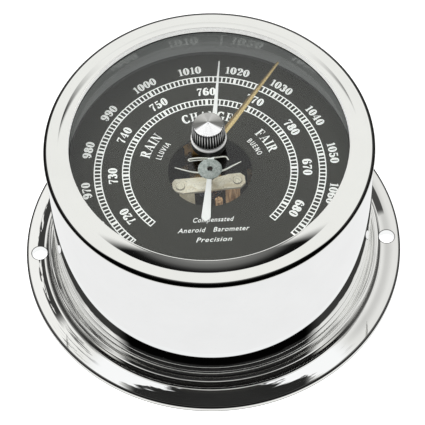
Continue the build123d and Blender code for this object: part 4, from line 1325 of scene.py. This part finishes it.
def build_lower_lines():
    """Three slanted lines of text below the centre, each stretched to its own width."""
    sheet = Print()
    # text, y of the line, width
    for text, line_y, width in (("Compensated", -17.9, 12.6),
                                ("Aneroid   Barometer", -21.5, 22.0),
                                ("Precision", -25.1, 11.0)):
        font = bpy.data.curves.new("line", "FONT")
        font.body = text
        font.size = 2.5
        font.shear = 0.35
        font.offset = 0.018
        font.space_character = 1.12
        font.resolution_u = 3
        font.align_x = "CENTER"
        obj = bpy.data.objects.new("line", font)
        scene.collection.objects.link(obj)
        bpy.context.view_layer.update()
        mesh = bpy.data.meshes.new_from_object(obj)
        bpy.data.objects.remove(obj)
        xs = [v.co.x for v in mesh.vertices]
        stretch = width / (max(xs) - min(xs))
        bm = bmesh.new()
        bm.from_mesh(mesh)
        bmesh.ops.remove_doubles(bm, verts=bm.verts, dist=1e-5)
        bmesh.ops.triangulate(bm, faces=bm.faces)
        bm.verts.index_update()
        points = [(v.co.x * stretch, line_y + v.co.y * 0.95 - 0.85) for v in bm.verts]
        faces = []
        for face in bm.faces:
            ids = [v.index for v in face.verts]
            faces.append(ids if signed_area([points[i] for i in ids]) > 0 else ids[::-1])
        bm.free()
        sheet.add(points, faces)
    sheet.build("maker_line_generic")


build_scale("scale_hectopascal", outer=36.0, inner=33.6, per_unit=DEGREES_PER_HPA, top=TOP_HPA,
            first=954, last=1073, line=0.34, tick=0.46)
build_scale("scale_millimetre", outer=27.23, inner=24.84, per_unit=DEGREES_PER_MMHG,
            top=TOP_MMHG, first=716, last=804, line=0.32, tick=0.44)
build_numerals()
build_forecast()
build_lower_lines()


# =====================================================================
# stage: pale floor, camera, soft studio light
# =====================================================================
def make_floor_material():
    """Plain white; mirrors see it fade to dark away from the instrument, except at the back."""
    material = bpy.data.materials.new("floor_pale")
    material.use_nodes = True
    nodes = Nodes(material.node_tree)
    nodes.tree.nodes.clear()
    position = nodes.add("NewGeometry").outputs["Position"]
    x, y, _ = nodes.separate(position)
    side_angle = nodes.math("ABSOLUTE", nodes.azimuth(x, y))
    fade = nodes.product(nodes.rise(nodes.hypot(x, y), 0.160, 0.190),
                         nodes.invert(nodes.rise(side_angle, 138, 152)))
    paper = nodes.ramp(nodes.noise(position, scale=900),
                       [(0.0, (0.90, 0.90, 0.90)), (1.0, (0.95, 0.95, 0.945))])
    diffuse = nodes.add("BsdfDiffuse", {"Color": paper})
    # a steady glow, stronger under the two screw holes, where painted light lifts the shadow
    steady, hole_fill_light = 0.50, 0.6
    glow = nodes.emission((1, 1, 1), strength=steady)
    hole = nodes.math("LESS_THAN", nodes.hole_distance(x, y, offset=0.0560), 0.0034)
    nodes.feed(glow.inputs["Strength"], nodes.total(steady, nodes.product(hole, hole_fill_light)))
    seen = nodes.add("AddShader", {0: diffuse.outputs[0], 1: glow.outputs[0]}).outputs[0]
    pale = nodes.emission(grey(0.95), strength=0.95).outputs[0]
    dark = nodes.emission((0.012, 0.012, 0.011)).outputs[0]
    glossy = nodes.add("LightPath").outputs["Is Glossy Ray"]
    surface = nodes.mix_shader(glossy, seen, nodes.mix_shader(fade, pale, dark))
    nodes.add("OutputMaterial", {"Surface": surface})
    return material


def build_floor():
    mesh = bpy.data.meshes.new("studio_floor")
    bm = bmesh.new()
    bmesh.ops.create_grid(bm, x_segments=2, y_segments=2, size=3.0,
                          matrix=Matrix.Translation((0, 0, -0.00005)))
    bm.to_mesh(mesh)
    bm.free()
    floor = bpy.data.objects.new("studio_floor", mesh)
    scene.collection.objects.link(floor)
    mesh.materials.append(make_floor_material())


def build_camera():
    """Looks down from the reader's side; angles in degrees, lengths in metres."""
    elevation, yaw, roll = 56.8, 0.4, 2.4
    distance = 0.891
    target = Vector((0, 0, 0.045))
    shift_right, shift_up = 0.00074147018, -0.0128521498    # in the camera's own axes
    forward = Vector((sind(yaw) * cosd(elevation), cosd(yaw) * cosd(elevation),
                      -sind(elevation)))
    level_right = Vector((cosd(yaw), -sind(yaw), 0))
    level_up = level_right.cross(forward).normalized()
    right = level_right * cosd(roll) - level_up * sind(roll)
    up = level_right * sind(roll) + level_up * cosd(roll)
    data = bpy.data.cameras.new("camera")
    data.sensor_width = 36.0
    data.lens = 244.2917647
    data.clip_start = 0.01
    data.clip_end = 50
    camera = bpy.data.objects.new("camera", data)
    scene.collection.objects.link(camera)
    position = target - forward * distance + right * shift_right + up * shift_up
    turn = Matrix((right, up, -forward)).transposed().to_4x4()
    camera.matrix_world = Matrix.Translation(position) @ turn
    scene.camera = camera


def build_world():
    """A white tent whose dark reader's side and horizon are seen only in reflections."""
    world = bpy.data.worlds.new("studio")
    scene.world = world
    world.use_nodes = True
    nodes = Nodes(world.node_tree)
    nodes.tree.nodes.clear()
    product, invert, rise = nodes.product, nodes.invert, nodes.rise
    x, y, z = nodes.separate(nodes.add("TexCoord").outputs["Generated"])
    elevation = product(nodes.math("ARCSINE", z), 180 / math.pi)
    azimuth = nodes.azimuth(x, y)
    side_angle = nodes.math("ABSOLUTE", azimuth)
    # brightness of the reader's side, by elevation as a share of 90 degrees
    levels = [(0.0, 0.006), (0.60, 0.006), (0.655, 0.012), (0.705, 0.06), (0.755, 0.14),
              (0.82, 0.19), (0.865, 0.25), (0.892, 0.34), (0.912, 1.0), (1.0, 1.0)]
    front = nodes.ramp(nodes.math("DIVIDE", elevation, 90.0),
                       [(share, grey(level)) for share, level in levels])
    in_front = invert(rise(side_angle, 68, 86))
    # dark horizon at the left, softer one at the right, none behind
    left = nodes.math("LESS_THAN", azimuth, 0.0)
    left_horizon = product(left, invert(rise(elevation, 11, 18)))
    right_horizon = product(invert(left), product(0.90, invert(rise(elevation, 7, 14))))
    horizon = product(nodes.most(left_horizon, right_horizon),
                      invert(rise(side_angle, 138, 160)))
    horizon_light = invert(product(horizon, 0.985))
    tent = nodes.add("Mix", {0: in_front, 2: 1.0, 3: front}, data_type="FLOAT").outputs[0]
    mirrored = product(nodes.math("MINIMUM", tent, horizon_light), 0.98)
    plain, reflected = (
        nodes.add("Background", {"Color": (1, 1, 1, 1), "Strength": strength}).outputs[0]
        for strength in (0.72, mirrored))
    glossy = nodes.add("LightPath").outputs["Is Glossy Ray"]
    nodes.add("OutputWorld", {"Surface": nodes.mix_shader(glossy, plain, reflected)})


def build_key_light():
    """A soft key from above, left and behind; mirrors don't see it."""
    data = bpy.data.lights.new("soft_key", "AREA")
    data.shape = "DISK"
    data.size = 0.9
    data.energy = 5.0
    light = bpy.data.objects.new("soft_key", data)
    scene.collection.objects.link(light)
    location = Vector((-0.35, 0.25, 0.95))
    aim = Vector((0, 0, 0.03))
    light.location = location
    light.rotation_euler = (aim - location).to_track_quat("-Z", "Y").to_euler()
    light.visible_glossy = False


build_floor()
build_camera()
build_world()
build_key_light()

scene.view_settings.view_transform = "Standard"
scene.view_settings.look = "None"
scene.view_settings.exposure = 0.0
scene.cycles.use_denoising = True
scene.cycles.max_bounces = 12
scene.cycles.glossy_bounces = 8
scene.cycles.transparent_max_bounces = 16
scene.cycles.caustics_reflective = False
scene.cycles.caustics_refractive = False
scene.cycles.sample_clamp_indirect = 4.0

bpy.context.view_layer.update()
